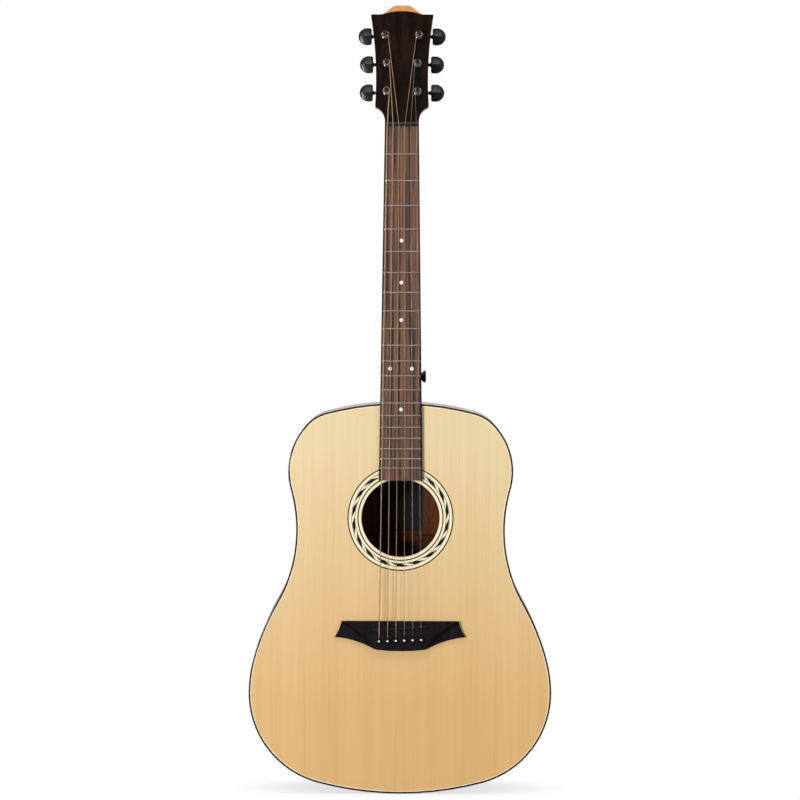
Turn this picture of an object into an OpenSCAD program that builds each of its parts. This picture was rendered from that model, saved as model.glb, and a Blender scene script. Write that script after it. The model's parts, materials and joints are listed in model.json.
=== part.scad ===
/* [Neck and strings] */
// String length from nut to saddle, before compensation
scale_length = 650; // [645:1:655]
// Fret at which the neck meets the body
joint_fret = 14; // [14]
// Number of frets
fret_count = 20; // [18:1:20]
// Neck width at the nut
nut_width = 44.4; // [42:0.1:46]
// Fingerboard width at its sound hole end
board_end_width = 57; // [55:0.5:58]
// Distance from the saddle line to the fingerboard's sound hole end
board_end_from_saddle = 188.5; // [187:0.1:190]
// Fingerboard thickness
board_t = 6; // [5.5:0.1:6.5]
// Radius of the fingerboard's crowned face
board_radius = 406; // [350:1:510]
// Backward tilt of the headstock, in degrees
head_tilt = 14; // [13:0.5:15]

/* [Body] */
// Depth of the body at the tail
tail_depth = 120; // [116:1:124]
// Depth of the body at the neck
neck_end_depth = 100; // [98:1:104]
// Radius of the arched back
back_radius = 4500; // [4000:100:6000]
// Soundboard thickness
top_t = 3; // [2.8:0.1:3.2]
// Back thickness
back_t = 2.8; // [2.5:0.1:3]
// Side and binding thickness
side_t = 2.4; // [2.2:0.1:2.6]
// Binding height, down the side
binding_h = 6; // [5:0.5:7]
// Width of the light line inside the binding
purfling_w = 1; // [0.8:0.1:1.2]
// Radius of the sound hole
hole_r = 51.2; // [50:0.1:52]
// Distance from the saddle line to the centre of the sound hole
hole_from_saddle = 139.4; // [138:0.1:141]

/* [Tuners] */
// Teeth on each worm wheel, which is the tuner's gear ratio
wheel_teeth = 18; // [14:1:18]
// Distance between neighbouring string posts
post_pitch = 38.6; // [38:0.1:39]
// Distance from the nut to the first string post
first_post = 40.5; // [40:0.1:43]

/* [Hidden] */
$fn = 96;

spruce = [0.91, 0.81, 0.62];
mahogany = [0.42, 0.2, 0.11];
rosewood = [0.25, 0.15, 0.11];
ebony = [0.09, 0.07, 0.07];
cream = [0.98, 0.94, 0.82];
black = [0.05, 0.05, 0.06];
steel = [0.75, 0.75, 0.76];
bronze = [0.72, 0.5, 0.3];
maple = [0.86, 0.6, 0.3];

// Glue gap where two curved surfaces meet
glue = 0.05;
// Radial clearance of a shaft in its own hole
run = 0.05;
// Length by which a cutter passes the face it opens
past = 1;
// Fineness of sampled arcs, in degrees
arc_step = 3;

// Every part is drawn lying flat: x across, y from the tail up the neck, z out of the soundboard.
// The origin is on the outer face of the tail, halfway between soundboard and back.
module upright() {
    rotate([90, 0, 0]) children();
}

// ---------- outline of the body ----------

// Half the outline as arcs from the tail, each tangent to the next: [radius, turn in degrees].
// A negative pair is the hollow of the waist. A last arc closes the shoulder on the centre line.
outline_arcs = [[416, 15], [122, 75.5], [171, 13.8], [301, 15.6], [-193, -45.7], [89, 61], [52, 29.8]];

function walk(from, radius, turn) = [
    from[0] + radius * (sin(from[2] + turn) - sin(from[2])),
    from[1] - radius * (cos(from[2] + turn) - cos(from[2])),
    from[2] + turn
];
function arc_start(i, inset) = i == 0
    ? [0, inset, 0]
    : walk(arc_start(i - 1, inset), outline_arcs[i - 1][0] - inset, outline_arcs[i - 1][1]);
function arc_points(from, radius, turn) =
    let (steps = ceil(abs(turn) / arc_step))
    [for (k = [0:steps - 1]) let (p = walk(from, radius, turn * k / steps)) [p[0], p[1]]];
function half_outline(inset) =
    let (shoulder = arc_start(len(outline_arcs), inset))
    concat(
        [for (i = [0:len(outline_arcs) - 1])
            each arc_points(arc_start(i, inset), outline_arcs[i][0] - inset, outline_arcs[i][1])],
        arc_points(shoulder, shoulder[0] / sin(shoulder[2]), 180 - shoulder[2]),
        [[0, body_top(inset)]]
    );
function body_top(inset) =
    let (shoulder = arc_start(len(outline_arcs), inset))
    walk(shoulder, shoulder[0] / sin(shoulder[2]), 180 - shoulder[2])[1];
// A half outline, from the lowest point on the centre line to the highest, with its mirror image
function mirrored(half) = concat(
    half,
    [for (i = [len(half) - 1:-1:0]) if (half[i][0] > 0) [-half[i][0], half[i][1]]]
);

module outline(inset = 0) {
    polygon(mirrored(half_outline(inset)));
}
module outline_ring(outer, inner) {
    difference() {
        outline(outer);
        outline(inner);
    }
}

// Points on a shallow curve from p to q that bulges to the left of its way by sag
function bow(p, q, sag, steps) =
    let (way = q - p, left = [-way[1], way[0]] / norm(way))
    [for (k = [0:steps - 1]) let (t = k / steps) p + way * t + left * 4 * sag * t * (1 - t)];

// ---------- levels and stations ----------

front_z = tail_depth / 2;
back_tail_z = -tail_depth / 2;
body_len = body_top(0);
taper = atan((tail_depth - neck_end_depth) / body_len);
nut_y = body_len + scale_length * (1 - pow(2, -joint_fret / 12));
saddle_line_y = nut_y - scale_length;
hole_y = saddle_line_y + hole_from_saddle;
inner_top_z = front_z - top_t;
board_end_y = saddle_line_y + board_end_from_saddle;
board_len = nut_y - board_end_y;
board_top_z = front_z + board_t;
function fret_y(n) = nut_y - scale_length * (1 - pow(2, -n / 12));
function board_half(y) = (nut_width + (board_end_width - nut_width) * (nut_y - y) / board_len) / 2;

// The space in front of a surface raised by h from the outside of the arched, slanted back.
// The arch is a shallow dome, turned about an axis through the middle of the back.
dome_r = 300;
dome_rings = 6;
module in_front_of_back(h) {
    mid = body_len / 2;
    sag = mid * mid / (2 * back_radius);
    translate([0, mid, (back_tail_z + front_z - neck_end_depth) / 2])
        rotate([taper, 0, 0])
            translate([0, 0, h - sag])
                rotate_extrude($fn = 180)
                    polygon(concat(
                        [for (k = [0:dome_rings])
                            let (r = dome_r * k / dome_rings) [r, r * r / (2 * back_radius)]],
                        [[dome_r, 2 * tail_depth], [0, 2 * tail_depth]]
                    ));
}
// A prism on a plan shape, from the back's surface raised by h up to the level z
module from_back(h, z) {
    intersection() {
        translate([0, 0, -tail_depth]) linear_extrude(tail_depth + z) children();
        in_front_of_back(h);
    }
}
// A prism on a plan shape that lies on the back, between two heights above its outside
module on_back(h0, h1) {
    difference() {
        from_back(h0, 0) children();
        in_front_of_back(h1);
    }
}

// ---------- body ----------

end_pin_r = 4;
neck_block_len = 60;
neck_block_half = 38;
tail_block_len = 20;
tail_block_half = 35;
rosette_depth = 1.2;
// Radii at which the rosette's rings meet, from the edge of the hole outwards. Light and dark take turns.
ring_edges = [hole_r, 54.8, 56.3, 59.2, 59.8, 63.5, 64.1, 67.75, 69.3];
rosette_r = ring_edges[len(ring_edges) - 1];
tenon_len = 18;
tenon_half_out = 14;
tenon_half_in = 18;
tenon_gap = 0.1;
heel_end_z = front_z - neck_end_depth + 3;
channel_w = 6.4;
channel_floor_z = front_z - 9.5;

module end_pin_hole() {
    translate([0, -past, 0]) rotate([-90, 0, 0]) cylinder(r = end_pin_r, h = tail_block_len + 10);
}
// The dovetail, wider inside the body than at its face. grow makes the socket for it.
module tenon_plan(grow) {
    polygon(mirrored([
        [0, body_len - tenon_len - grow],
        [tenon_half_in + grow, body_len - tenon_len - grow],
        [tenon_half_out + grow, body_len + past],
        [0, body_len + past]
    ]));
}
module tenon_socket() {
    translate([0, 0, heel_end_z - tenon_gap])
        linear_extrude(front_z + past - heel_end_z + tenon_gap) tenon_plan(tenon_gap);
}

module top_plate() {
    color(spruce) difference() {
        translate([0, 0, inner_top_z]) linear_extrude(top_t) outline(side_t + purfling_w);
        translate([0, hole_y, inner_top_z - past]) cylinder(r = hole_r, h = top_t + 2 * past);
        translate([0, hole_y, front_z - rosette_depth])
            cylinder(r = rosette_r + glue, h = rosette_depth + past);
        pin_holes();
        tenon_socket();
    }
}

module inlaid() {
    translate([0, hole_y, front_z - rosette_depth + glue]) linear_extrude(rosette_depth - glue) children();
}
module ring(i) {
    inlaid() difference() {
        circle(r = ring_edges[i + 1]);
        circle(r = ring_edges[i] + (i > 0 ? glue : 0));
    }
}
// The rope: slanted dark pieces set in the widest light ring
rope_ring = 4;
rope_r0 = 60.05;
rope_r1 = 63.3;
rope_count = 18;
rope_width = 12.5;
rope_start = -1.5;
rope_lean = 8.5;
function polar(r, a) = [r * cos(a), r * sin(a)];
// grow widens every piece by a gap. turn is that gap as an angle, with what the lean takes back.
module rope_pieces(grow) {
    turn = atan(grow / rope_r0) + rope_lean * grow / (rope_r1 - rope_r0);
    for (k = [0:rope_count - 1]) {
        a = rope_start + 360 * k / rope_count;
        polygon([
            polar(rope_r0 - grow, a - turn),
            polar(rope_r0 - grow, a + rope_width / 2),
            polar(rope_r0 - grow, a + rope_width + turn),
            polar(rope_r1 + grow, a + rope_width + rope_lean + turn),
            polar(rope_r1 + grow, a + rope_width / 2 + rope_lean),
            polar(rope_r1 + grow, a + rope_lean - turn)
        ]);
    }
}
module rosette_light() {
    color(cream) {
        for (i = [0:2:len(ring_edges) - 2]) if (i != rope_ring) ring(i);
        difference() {
            ring(rope_ring);
            translate([0, hole_y, 0]) linear_extrude(front_z + past) rope_pieces(glue);
        }
    }
}
module rosette_dark() {
    color(ebony) {
        for (i = [1:2:len(ring_edges) - 2]) ring(i);
        inlaid() rope_pieces(0);
    }
}

module back_plate() {
    color(mahogany) on_back(0, back_t) outline(side_t);
}

module both_sides() {
    difference() {
        from_back(binding_h + glue, front_z - binding_h) outline_ring(0, side_t);
        end_pin_hole();
        tenon_socket();
    }
}
module half_space(side) {
    translate([side > 0 ? 0 : -dome_r, -past, -tail_depth])
        cube([dome_r, body_len + 2 * past, 2 * tail_depth]);
}
module side(side) {
    color(mahogany) intersection() {
        both_sides();
        half_space(side);
    }
}

module binding() {
    color(ebony) {
        difference() {
            translate([0, 0, front_z - binding_h]) linear_extrude(binding_h) outline_ring(0, side_t);
            tenon_socket();
        }
        difference() {
            on_back(0, binding_h) outline_ring(0, side_t - glue);
            tenon_socket();
        }
    }
}
module purfling() {
    color(cream) difference() {
        translate([0, 0, inner_top_z]) linear_extrude(top_t) outline_ring(side_t, side_t + purfling_w);
        tenon_socket();
    }
}

lining_w = 6;
lining_h = 14;
module block_zones() {
    translate([-neck_block_half, body_len - neck_block_len, -tail_depth])
        cube([2 * neck_block_half, neck_block_len + past, 2 * tail_depth]);
    translate([-tail_block_half, 0, -tail_depth])
        cube([2 * tail_block_half, side_t + tail_block_len, 2 * tail_depth]);
}
module linings() {
    color(spruce) {
        difference() {
            translate([0, 0, inner_top_z - lining_h])
                linear_extrude(lining_h) outline_ring(side_t, side_t + lining_w);
            block_zones();
        }
        difference() {
            on_back(back_t + glue, back_t + lining_h) outline_ring(side_t, side_t + lining_w);
            block_zones();
        }
    }
}

module neck_block() {
    color(mahogany) difference() {
        from_back(back_t + glue, inner_top_z) intersection() {
            outline(side_t);
            translate([-neck_block_half, body_len - neck_block_len])
                square([2 * neck_block_half, neck_block_len]);
        }
        tenon_socket();
        rod_channel();
    }
}
module tail_block() {
    color(mahogany) difference() {
        from_back(back_t + glue, inner_top_z) intersection() {
            outline(side_t);
            translate([-tail_block_half, 0]) square([2 * tail_block_half, side_t + tail_block_len]);
        }
        end_pin_hole();
    }
}

// A brace under the soundboard from p to q, with its ends tapered thin
module top_brace(p, q, w, h) {
    way = q - p;
    long = norm(way);
    end_h = 3;
    translate([p[0], p[1], inner_top_z])
        rotate([0, 0, atan2(way[1], way[0])])
            translate([0, w / 2, 0])
                rotate([90, 0, 0])
                    linear_extrude(w)
                        polygon([
                            [0, 0], [long, 0], [long, -end_h],
                            [long - long / 5, -h], [long / 5, -h], [0, -end_h]
                        ]);
}
module inside_linings() {
    translate([0, 0, -tail_depth]) linear_extrude(2 * tail_depth) outline(side_t + lining_w + 1);
}
x_brace_w = 8;
x_brace_h = 14;
x_cross_y = hole_y - hole_r - 25;
x_slope = tan(49);
x_top_y = hole_y + 49;
x_foot_y = 100;
module x_brace(side) {
    top_brace(
        [side * x_slope * (x_top_y - x_cross_y), x_top_y],
        [side * x_slope * (x_foot_y - x_cross_y), x_foot_y],
        x_brace_w, x_brace_h
    );
}
// Half the height of a long brace, from the level z, where the other one crosses it
module lap(side, z) {
    intersection() {
        x_brace(side);
        translate([-20, x_cross_y - 20, z]) cube([40, 40, x_brace_h / 2 + past]);
    }
}
rod_z = front_z - 7;
module top_braces() {
    color(spruce) intersection() {
        union() {
            difference() {
                x_brace(1);
                lap(-1, inner_top_z - x_brace_h / 2);
            }
            difference() {
                x_brace(-1);
                lap(1, inner_top_z - x_brace_h - past);
            }
            difference() {
                top_brace([-145, hole_y + hole_r + 12], [145, hole_y + hole_r + 12], 9, 14);
                translate([0, hole_y + hole_r, rod_z]) rotate([-90, 0, 0]) cylinder(r = 3.4, h = 30);
            }
            top_brace([-96, 172], [120, 118], 7, 12);
            top_brace([-105, 112], [95, 62], 7, 10);
            for (side = [-1, 1]) {
                top_brace([side * 92, 226], [side * 150, 262], 6, 8);
                top_brace([side * 118, 198], [side * 185, 232], 6, 8);
            }
        }
        inside_linings();
    }
}
module bridge_plate() {
    color(maple) difference() {
        translate([0, 0, inner_top_z - bridge_plate_t]) linear_extrude(bridge_plate_t)
            polygon(mirrored([[0, 184], [88, 184], [72, 209], [42, 236], [0, 236]]));
        pin_holes();
    }
}

back_brace_ys = [90, 205, 328, 425];
back_brace_w = 9;
back_brace_h = 15;
strip_half = 8;
module back_braces() {
    color(mahogany) {
        for (y = back_brace_ys)
            on_back(back_t + glue, back_t + back_brace_h) intersection() {
                outline(side_t + lining_w + 1);
                translate([-dome_r, y - back_brace_w / 2]) square([2 * dome_r, back_brace_w]);
            }
        for (bay = [0, 1])
            on_back(back_t + glue, back_t + 2.5)
                translate([-strip_half, back_brace_ys[bay] + back_brace_w / 2 + 1])
                    square([2 * strip_half, back_brace_ys[bay + 1] - back_brace_ys[bay] - back_brace_w - 2]);
    }
}
module label() {
    color(ebony) on_back(back_t + glue, back_t + glue + 0.3)
        translate([-30, back_brace_ys[2] + back_brace_w / 2 + 4]) square([60, 72]);
}

// ---------- bridge ----------

bridge_top_y = saddle_line_y + 4.6;
bridge_h = 8;
wing_h = 4.5;
bridge_plate_t = 2.5;
bridge_corner = 77;
bridge_tip = 85.5;
bridge_tip_drop = 21;
belly_corner = 34.3;
saddle_w = 3;
saddle_len = 73;
saddle_slant = 3.7;
saddle_y = saddle_line_y - 4.9;
saddle_top_z = front_z + 11;
saddle_foot_z = front_z + 3;
pin_spacing = 11;
pin_hole_r = 2.7;
pin_row_y = bridge_top_y - 25;
pin_row_slope = 2 / 55;
ball_r = 1.9;
ball_w = 3.4;
// Strings from the thickest, on the bass side, to the thinnest
string_d = [1.35, 1.07, 0.81, 0.61, 0.41, 0.31];
nut_spread = 38;

function pin_x(i) = (i - 2.5) * pin_spacing;
function pin_y(i) = pin_row_y + pin_x(i) * pin_row_slope;
module pin_holes() {
    for (i = [0:5])
        translate([pin_x(i), pin_y(i), inner_top_z - bridge_plate_t - past])
            cylinder(r = pin_hole_r, h = top_t + bridge_plate_t + bridge_h + 2 * past);
}
module bridge_plan() {
    translate([0, bridge_top_y])
        polygon(mirrored(concat(
            bow([0, -39], [belly_corner, -36.5], -0.6, 6),
            bow([belly_corner, -36.5], [bridge_tip, -bridge_tip_drop], 3.2, 12),
            bow([bridge_tip, -bridge_tip_drop], [bridge_corner, 0], 1.6, 6),
            [[bridge_corner, 0], [0, 0]]
        )));
}
// The full height part of the bridge, bounded by an arc at each end
module bridge_middle_plan() {
    translate([0, bridge_top_y])
        polygon(mirrored(concat(
            [[0, -39 - past]],
            bow([belly_corner - 2, -37 - past], [bridge_corner - 4, -2], 5, 12),
            [[bridge_corner - 4, 0], [0, 0]]
        )));
}
module bridge() {
    color(ebony) difference() {
        union() {
            translate([0, 0, front_z]) linear_extrude(wing_h) bridge_plan();
            translate([0, 0, front_z]) linear_extrude(bridge_h) intersection() {
                bridge_plan();
                bridge_middle_plan();
            }
        }
        pin_holes();
        for (i = [0:5]) string_ramp(i);
        translate([0, saddle_y, saddle_foot_z])
            rotate([0, 0, saddle_slant])
                translate([-saddle_len / 2 - run, -saddle_w / 2 - run, 0])
                    cube([saddle_len + 2 * run, saddle_w + 2 * run, bridge_h]);
    }
}
module saddle() {
    crown_z = saddle_top_z - saddle_w / 2;
    color(black) translate([0, saddle_y, 0]) rotate([0, 0, saddle_slant]) {
        translate([-saddle_len / 2, -saddle_w / 2, saddle_foot_z])
            cube([saddle_len, saddle_w, crown_z - saddle_foot_z]);
        translate([-saddle_len / 2, 0, crown_z]) rotate([0, 90, 0]) cylinder(d = saddle_w, h = saddle_len);
    }
}

pin_len = 24;
pin_head_r = 3.9;
module bridge_pin(i) {
    groove = string_d[i] + 0.5;
    color(black) translate([pin_x(i), pin_y(i), front_z + bridge_h + glue]) {
        rotate_extrude() polygon([
            [0, 0], [pin_head_r - 0.3, 0], [pin_head_r, 0.5], [pin_head_r - 0.3, 1.4], [2.6, 2.6], [0, 3]
        ]);
        difference() {
            translate([0, 0, -pin_len]) cylinder(r1 = 2, r2 = pin_hole_r - run, h = pin_len);
            translate([-groove / 2, pin_hole_r - groove - 0.35, -pin_len - past])
                cube([groove, 5, pin_len + past]);
        }
    }
}

// ---------- strings ----------

// An eight-sided wire from p to q that runs on a little past q, so that it joins the next one
module rod(p, q, r) {
    way = q - p;
    translate(p)
        rotate([0, acos(way[2] / norm(way)), atan2(way[1], way[0])])
            cylinder(r = r, h = norm(way) + r / 2, $fn = 8);
}
// Where string i leaves the bridge, crosses the saddle and crosses the nut
string_exit_z = front_z + bridge_h - 2;
break_half = 12.5;
nut_slot_z = board_top_z + 1.6;
function string_r(i) = string_d[i] / 2;
function string_x(i, y) =
    let (nut_x = (i - 2.5) * nut_spread / 5)
    nut_x + (pin_x(i) - nut_x) * (nut_y - y) / (nut_y - pin_row_y);
function ball_end(i) = [pin_x(i), pin_y(i) + 4.4, inner_top_z - bridge_plate_t - ball_r - 0.2];
function in_pin_hole(i, z) = [pin_x(i), pin_y(i) + pin_hole_r - string_r(i) - run, z];
function under_plate(i) = in_pin_hole(i, inner_top_z - bridge_plate_t - 0.6);
function at_exit(i) = in_pin_hole(i, string_exit_z);
function at_saddle(i) = let (
    y = saddle_y + pin_x(i) * tan(saddle_slant) - (saddle_w / 2 + string_r(i)) * tan(break_half)
) [string_x(i, y), y, saddle_top_z + string_r(i) + run];
function at_nut(i) = let (y = nut_y + 0.8) [string_x(i, y), y, nut_slot_z + string_r(i) + run];
module string(i) {
    rod(ball_end(i), under_plate(i), string_r(i));
    rod(under_plate(i), at_exit(i), string_r(i));
    rod(at_exit(i), at_saddle(i), string_r(i));
    rod(at_saddle(i), at_nut(i), string_r(i));
    rod(at_nut(i), from_head(at_post(i)), string_r(i));
}
module string_ramp(i) {
    way = at_saddle(i) - at_exit(i);
    w = string_d[i] + 0.3;
    translate(at_exit(i))
        rotate([0, 0, atan2(way[1], way[0]) - 90])
            rotate([atan2(way[2], norm([way[0], way[1]])), 0, 0])
                translate([-w / 2, -past, -w / 2])
                    cube([w, norm(way) - saddle_w, 6]);
}
module wound_strings() {
    color(bronze) for (i = [0:3]) string(i);
}
module plain_strings() {
    color(steel) for (i = [4, 5]) string(i);
}
module string_ball_ends() {
    color(bronze) for (i = [0:5]) translate(ball_end(i)) difference() {
        way = under_plate(i) - ball_end(i);
        rotate([0, 90, 0]) cylinder(r = ball_r, h = ball_w, center = true, $fn = 48);
        rod(-way / 20, way * 2, string_r(i) + run);
    }
}

// ---------- headstock ----------

nut_t = 6.2;
veneer_t = 2;
head_t = 16.5;
head_waist = 33.9;
head_waist_y = 56.2;
head_side_r = 572;
ear_y = 21.3;
head_top_y = 146.1;
// The crown at the tip is flat out to the first distance and has fallen to the corners at the second
crown_h = 12.2;
crown_flat = 7;
crown_half = 29;
head_front_z = front_z + 2;
post_out = [22.1, 20, 20.2];
post_r = 3;
string_level = 3.6;

module on_head() {
    translate([0, nut_y + nut_t, head_front_z]) rotate([-head_tilt, 0, 0]) children();
}
function from_head(p) = [
    p[0],
    nut_y + nut_t + p[1] * cos(head_tilt) + p[2] * sin(head_tilt),
    head_front_z - p[1] * sin(head_tilt) + p[2] * cos(head_tilt)
];
function to_head(p) = let (y = p[1] - nut_y - nut_t, z = p[2] - head_front_z)
    [p[0], y * cos(head_tilt) - z * sin(head_tilt), y * sin(head_tilt) + z * cos(head_tilt)];

function head_half(y) = head_waist + pow(y - head_waist_y, 2) / (2 * head_side_r);
function crown_y(x) =
    let (share = min(max((x - crown_flat) / (crown_half - crown_flat), 0), 1))
    head_top_y + crown_h * (1 + cos(180 * share)) / 2;
head_corner = head_half(head_top_y);
head_half_outline = concat(
    [[0, 0], [nut_width / 2, 0]],
    bow([nut_width / 2, 1.8], [head_waist, ear_y - 1.2], 3.2, 8),
    bow([head_waist, ear_y - 1.2], [head_half(ear_y + 2.5), ear_y + 2.5], -0.5, 3),
    [for (k = [0:12]) let (y = ear_y + 2.5 + (head_top_y - ear_y - 3.5) * k / 12) [head_half(y), y]],
    [[head_corner - 0.4, head_top_y - 0.2]],
    [for (k = [0:28]) let (x = (head_corner - 1.2) * (1 - k / 28)) [x, crown_y(x)]]
);
module head_plan() {
    polygon(mirrored(head_half_outline));
}
// The cap's lower edge is a shallow curve that nearly meets the crown's outline at both ends
cap_half = 27;
cap_low_y = head_top_y - 0.3;
module cap_plan() {
    intersection() {
        head_plan();
        polygon(concat(
            bow([-cap_half, cap_low_y], [cap_half, cap_low_y], 5, 16),
            [[cap_half, cap_low_y], [cap_half, cap_low_y + 40], [-cap_half, cap_low_y + 40]]
        ));
    }
}
module post_holes(r) {
    for (t = [0:5])
        translate([post_x(t), post_y(t), -head_t - past]) cylinder(r = r, h = head_t + 2 * past);
}
module headstock_veneer() {
    color(ebony) on_head() difference() {
        translate([0, 0, -veneer_t]) linear_extrude(veneer_t) head_plan();
        translate([0, 0, -veneer_t - past]) linear_extrude(veneer_t + 2 * past) cap_plan();
        post_holes(bushing_r + run);
    }
}
module headstock_cap() {
    color(maple) on_head() translate([0, 0, -veneer_t]) linear_extrude(veneer_t) cap_plan();
}

// ---------- neck ----------

shaft_back_nut = 15;
shaft_back_heel = 17;
shaft_end_y = nut_y + nut_t + 3;
rod_nut_end_y = nut_y - 14;
// Radius of the round back of the neck, for a given half width and depth below the fingerboard
function back_arc(half, depth) = (half * half + depth * depth) / (2 * depth);
module shaft() {
    r_heel = back_arc(board_half(body_len), shaft_back_heel);
    r_nut = back_arc(nut_width / 2, shaft_back_nut);
    rise_heel = r_heel - shaft_back_heel;
    rise_nut = r_nut - shaft_back_nut;
    run_y = shaft_end_y - body_len;
    lean = atan((rise_nut - rise_heel) / run_y);
    intersection() {
        translate([0, body_len, front_z + rise_heel])
            rotate([lean - 90, 0, 0])
                translate([0, 0, -20])
                    cylinder(r1 = r_heel, r2 = r_nut, h = run_y / cos(lean) + 20, $fn = 120);
        translate([-nut_width, body_len, front_z - 40]) cube([2 * nut_width, run_y, 40]);
    }
}
// The heel is a chain of half ellipses: [depth below the fingerboard, half width, reach from the body]
heel_sections = [[12, 26.6, 92], [20, 25.6, 70], [32, 23.6, 54], [50, 21, 40], [72, 18.6, 29], [97, 17, 22]];
module heel_slice(s, t) {
    translate([0, body_len, front_z - s[0]]) linear_extrude(t) intersection() {
        resize([2 * s[1], 2 * s[2]]) circle(r = 20, $fn = 48);
        translate([-50, 0]) square([100, 100]);
    }
}
module heel() {
    for (k = [0:len(heel_sections) - 2]) hull() {
        heel_slice(heel_sections[k], 0.2);
        heel_slice(heel_sections[k + 1], 0.01);
    }
}
module rod_channel() {
    translate([-channel_w / 2, body_len - neck_block_len - past, channel_floor_z])
        cube([channel_w, rod_nut_end_y - body_len + neck_block_len + past, front_z - channel_floor_z + past]);
}
button_y = body_len + 34;
button_z = front_z - 32;
button_seat_x = 17.5;
button_len = 15.5;
button_screw_r = 2;
module neck() {
    color(mahogany) difference() {
        union() {
            shaft();
            heel();
            translate([0, 0, heel_end_z]) linear_extrude(front_z - heel_end_z)
                intersection() {
                    tenon_plan(0);
                    translate([-50, 0]) square([100, body_len + 0.5]);
                }
            on_head() translate([0, 0, -head_t]) linear_extrude(head_t - veneer_t) head_plan();
        }
        rod_channel();
        on_head() post_holes(bushing_r + run);
        on_head() for (t = [0:5]) translate([housing_screw_x(t), housing_screw_y(t), -head_t - past])
            cylinder(r = housing_screw_r + run, h = housing_screw_len + past, $fn = 32);
        translate([button_seat_x, button_y, button_z]) rotate([0, 90, 0]) cylinder(r = 5.4, h = 20);
        translate([button_seat_x - 16, button_y, button_z])
            rotate([0, 90, 0]) cylinder(r = button_screw_r + run, h = 20, $fn = 32);
        translate([-50, nut_y, front_z]) cube([100, nut_t, 20]);
        on_head() translate([-50, 0, -veneer_t]) cube([100, 20, 20]);
    }
}
module heel_cap() {
    last = heel_sections[len(heel_sections) - 1];
    color(ebony) translate([0, body_len + glue, front_z - neck_end_depth])
        linear_extrude(front_z - last[0] - (front_z - neck_end_depth) - glue) intersection() {
            resize([2 * last[1], 2 * last[2]]) circle(r = 20, $fn = 48);
            translate([-50, 0]) square([100, 100]);
        }
}
module strap_button() {
    color(black) translate([button_seat_x, button_y, button_z]) rotate([0, 90, 0]) difference() {
        rotate_extrude() polygon([
            [0, 0], [5, 0], [4.2, 4], [4.6, 8], [7.2, 11.5], [8, 13], [7.6, 14.6],
            [5.5, button_len], [0, button_len]
        ]);
        translate([0, 0, -past]) cylinder(r = button_screw_r + run, h = button_len + 2 * past, $fn = 48);
        translate([0, 0, button_len - 2.5]) cylinder(r = 4, h = 3);
    }
}
module strap_button_screw() {
    color(black) translate([button_seat_x, button_y, button_z]) rotate([0, 90, 0]) difference() {
        union() {
            translate([0, 0, -15]) cylinder(r = button_screw_r, h = button_len + 13, $fn = 48);
            translate([0, 0, button_len - 2.5 + glue]) cylinder(r = 3.8, h = 1.8);
        }
        for (a = [0, 90]) rotate([0, 0, a]) translate([-2, -0.4, button_len - 1.5]) cube([4, 0.8, 2]);
    }
}

// ---------- truss rod ----------

rod_r = 2;
rod_block_len = 10;
rod_start_y = body_len - neck_block_len + 1;
rod_block_z = channel_floor_z + 0.3;
module truss_rod() {
    len_y = rod_nut_end_y - 1 - rod_start_y;
    color(steel) difference() {
        translate([-3, rod_start_y, rod_block_z]) difference() {
            cube([6, len_y, 6]);
            translate([-past, rod_block_len, -past])
                cube([6 + 2 * past, len_y - 2 * rod_block_len, past + 4.4]);
        }
        translate([0, rod_start_y - past, rod_z])
            rotate([-90, 0, 0]) cylinder(r = rod_r + run, h = len_y - 2);
    }
}
module truss_rod_nut() {
    nut_len = 12;
    y0 = rod_start_y - 2.5 - nut_len;
    color(steel) translate([0, y0, rod_z]) rotate([-90, 0, 0]) difference() {
        union() {
            cylinder(r = 3.8, h = nut_len);
            cylinder(r = rod_r, h = rod_nut_end_y - 6 - y0);
        }
        translate([0, 0, -past]) cylinder(r = 2.6, h = 8 + past, $fn = 6);
    }
}

// ---------- fingerboard ----------

board_edge = 1.5;
slot_w = 0.6;
fret_w = 2.3;
fret_h = 1.1;
tang_depth = 1.6;
dot_r = 2.5;
dot_depth = 1.5;
// Where the dots lie: [fret, distance from the centre line]
dots = [[5, 0], [7, 0], [9, 0], [12, -14.2], [12, 14.2], [15, 0]];

module board_plan(inset) {
    polygon(mirrored([
        [0, board_end_y],
        [board_end_width / 2 - inset, board_end_y],
        [nut_width / 2 - inset, nut_y],
        [0, nut_y]
    ]));
}
// A long cylinder that carries the crown of the board, raised by h
module crown(h) {
    translate([0, board_end_y - 10, board_top_z - board_radius])
        rotate([-90, 0, 0]) cylinder(r = board_radius + h, h = board_len + 20, $fn = 256);
}
module board_blank(inset) {
    intersection() {
        translate([0, 0, front_z]) linear_extrude(board_t + past) board_plan(inset);
        crown(0);
    }
}
module across_board(n, w, z0, z1, inset) {
    half = board_half(fret_y(n)) - inset;
    translate([-half, fret_y(n) - w / 2, z0]) cube([2 * half, w, z1 - z0]);
}
module fingerboard() {
    color(rosewood) difference() {
        board_blank(board_edge);
        for (n = [1:fret_count])
            across_board(n, slot_w, board_top_z - tang_depth - 1, board_top_z + past, -past);
        for (d = dots) at_dot(d) translate([0, 0, -dot_depth - glue])
            cylinder(r = dot_r + glue, h = dot_depth + past, $fn = 48);
    }
}
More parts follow.
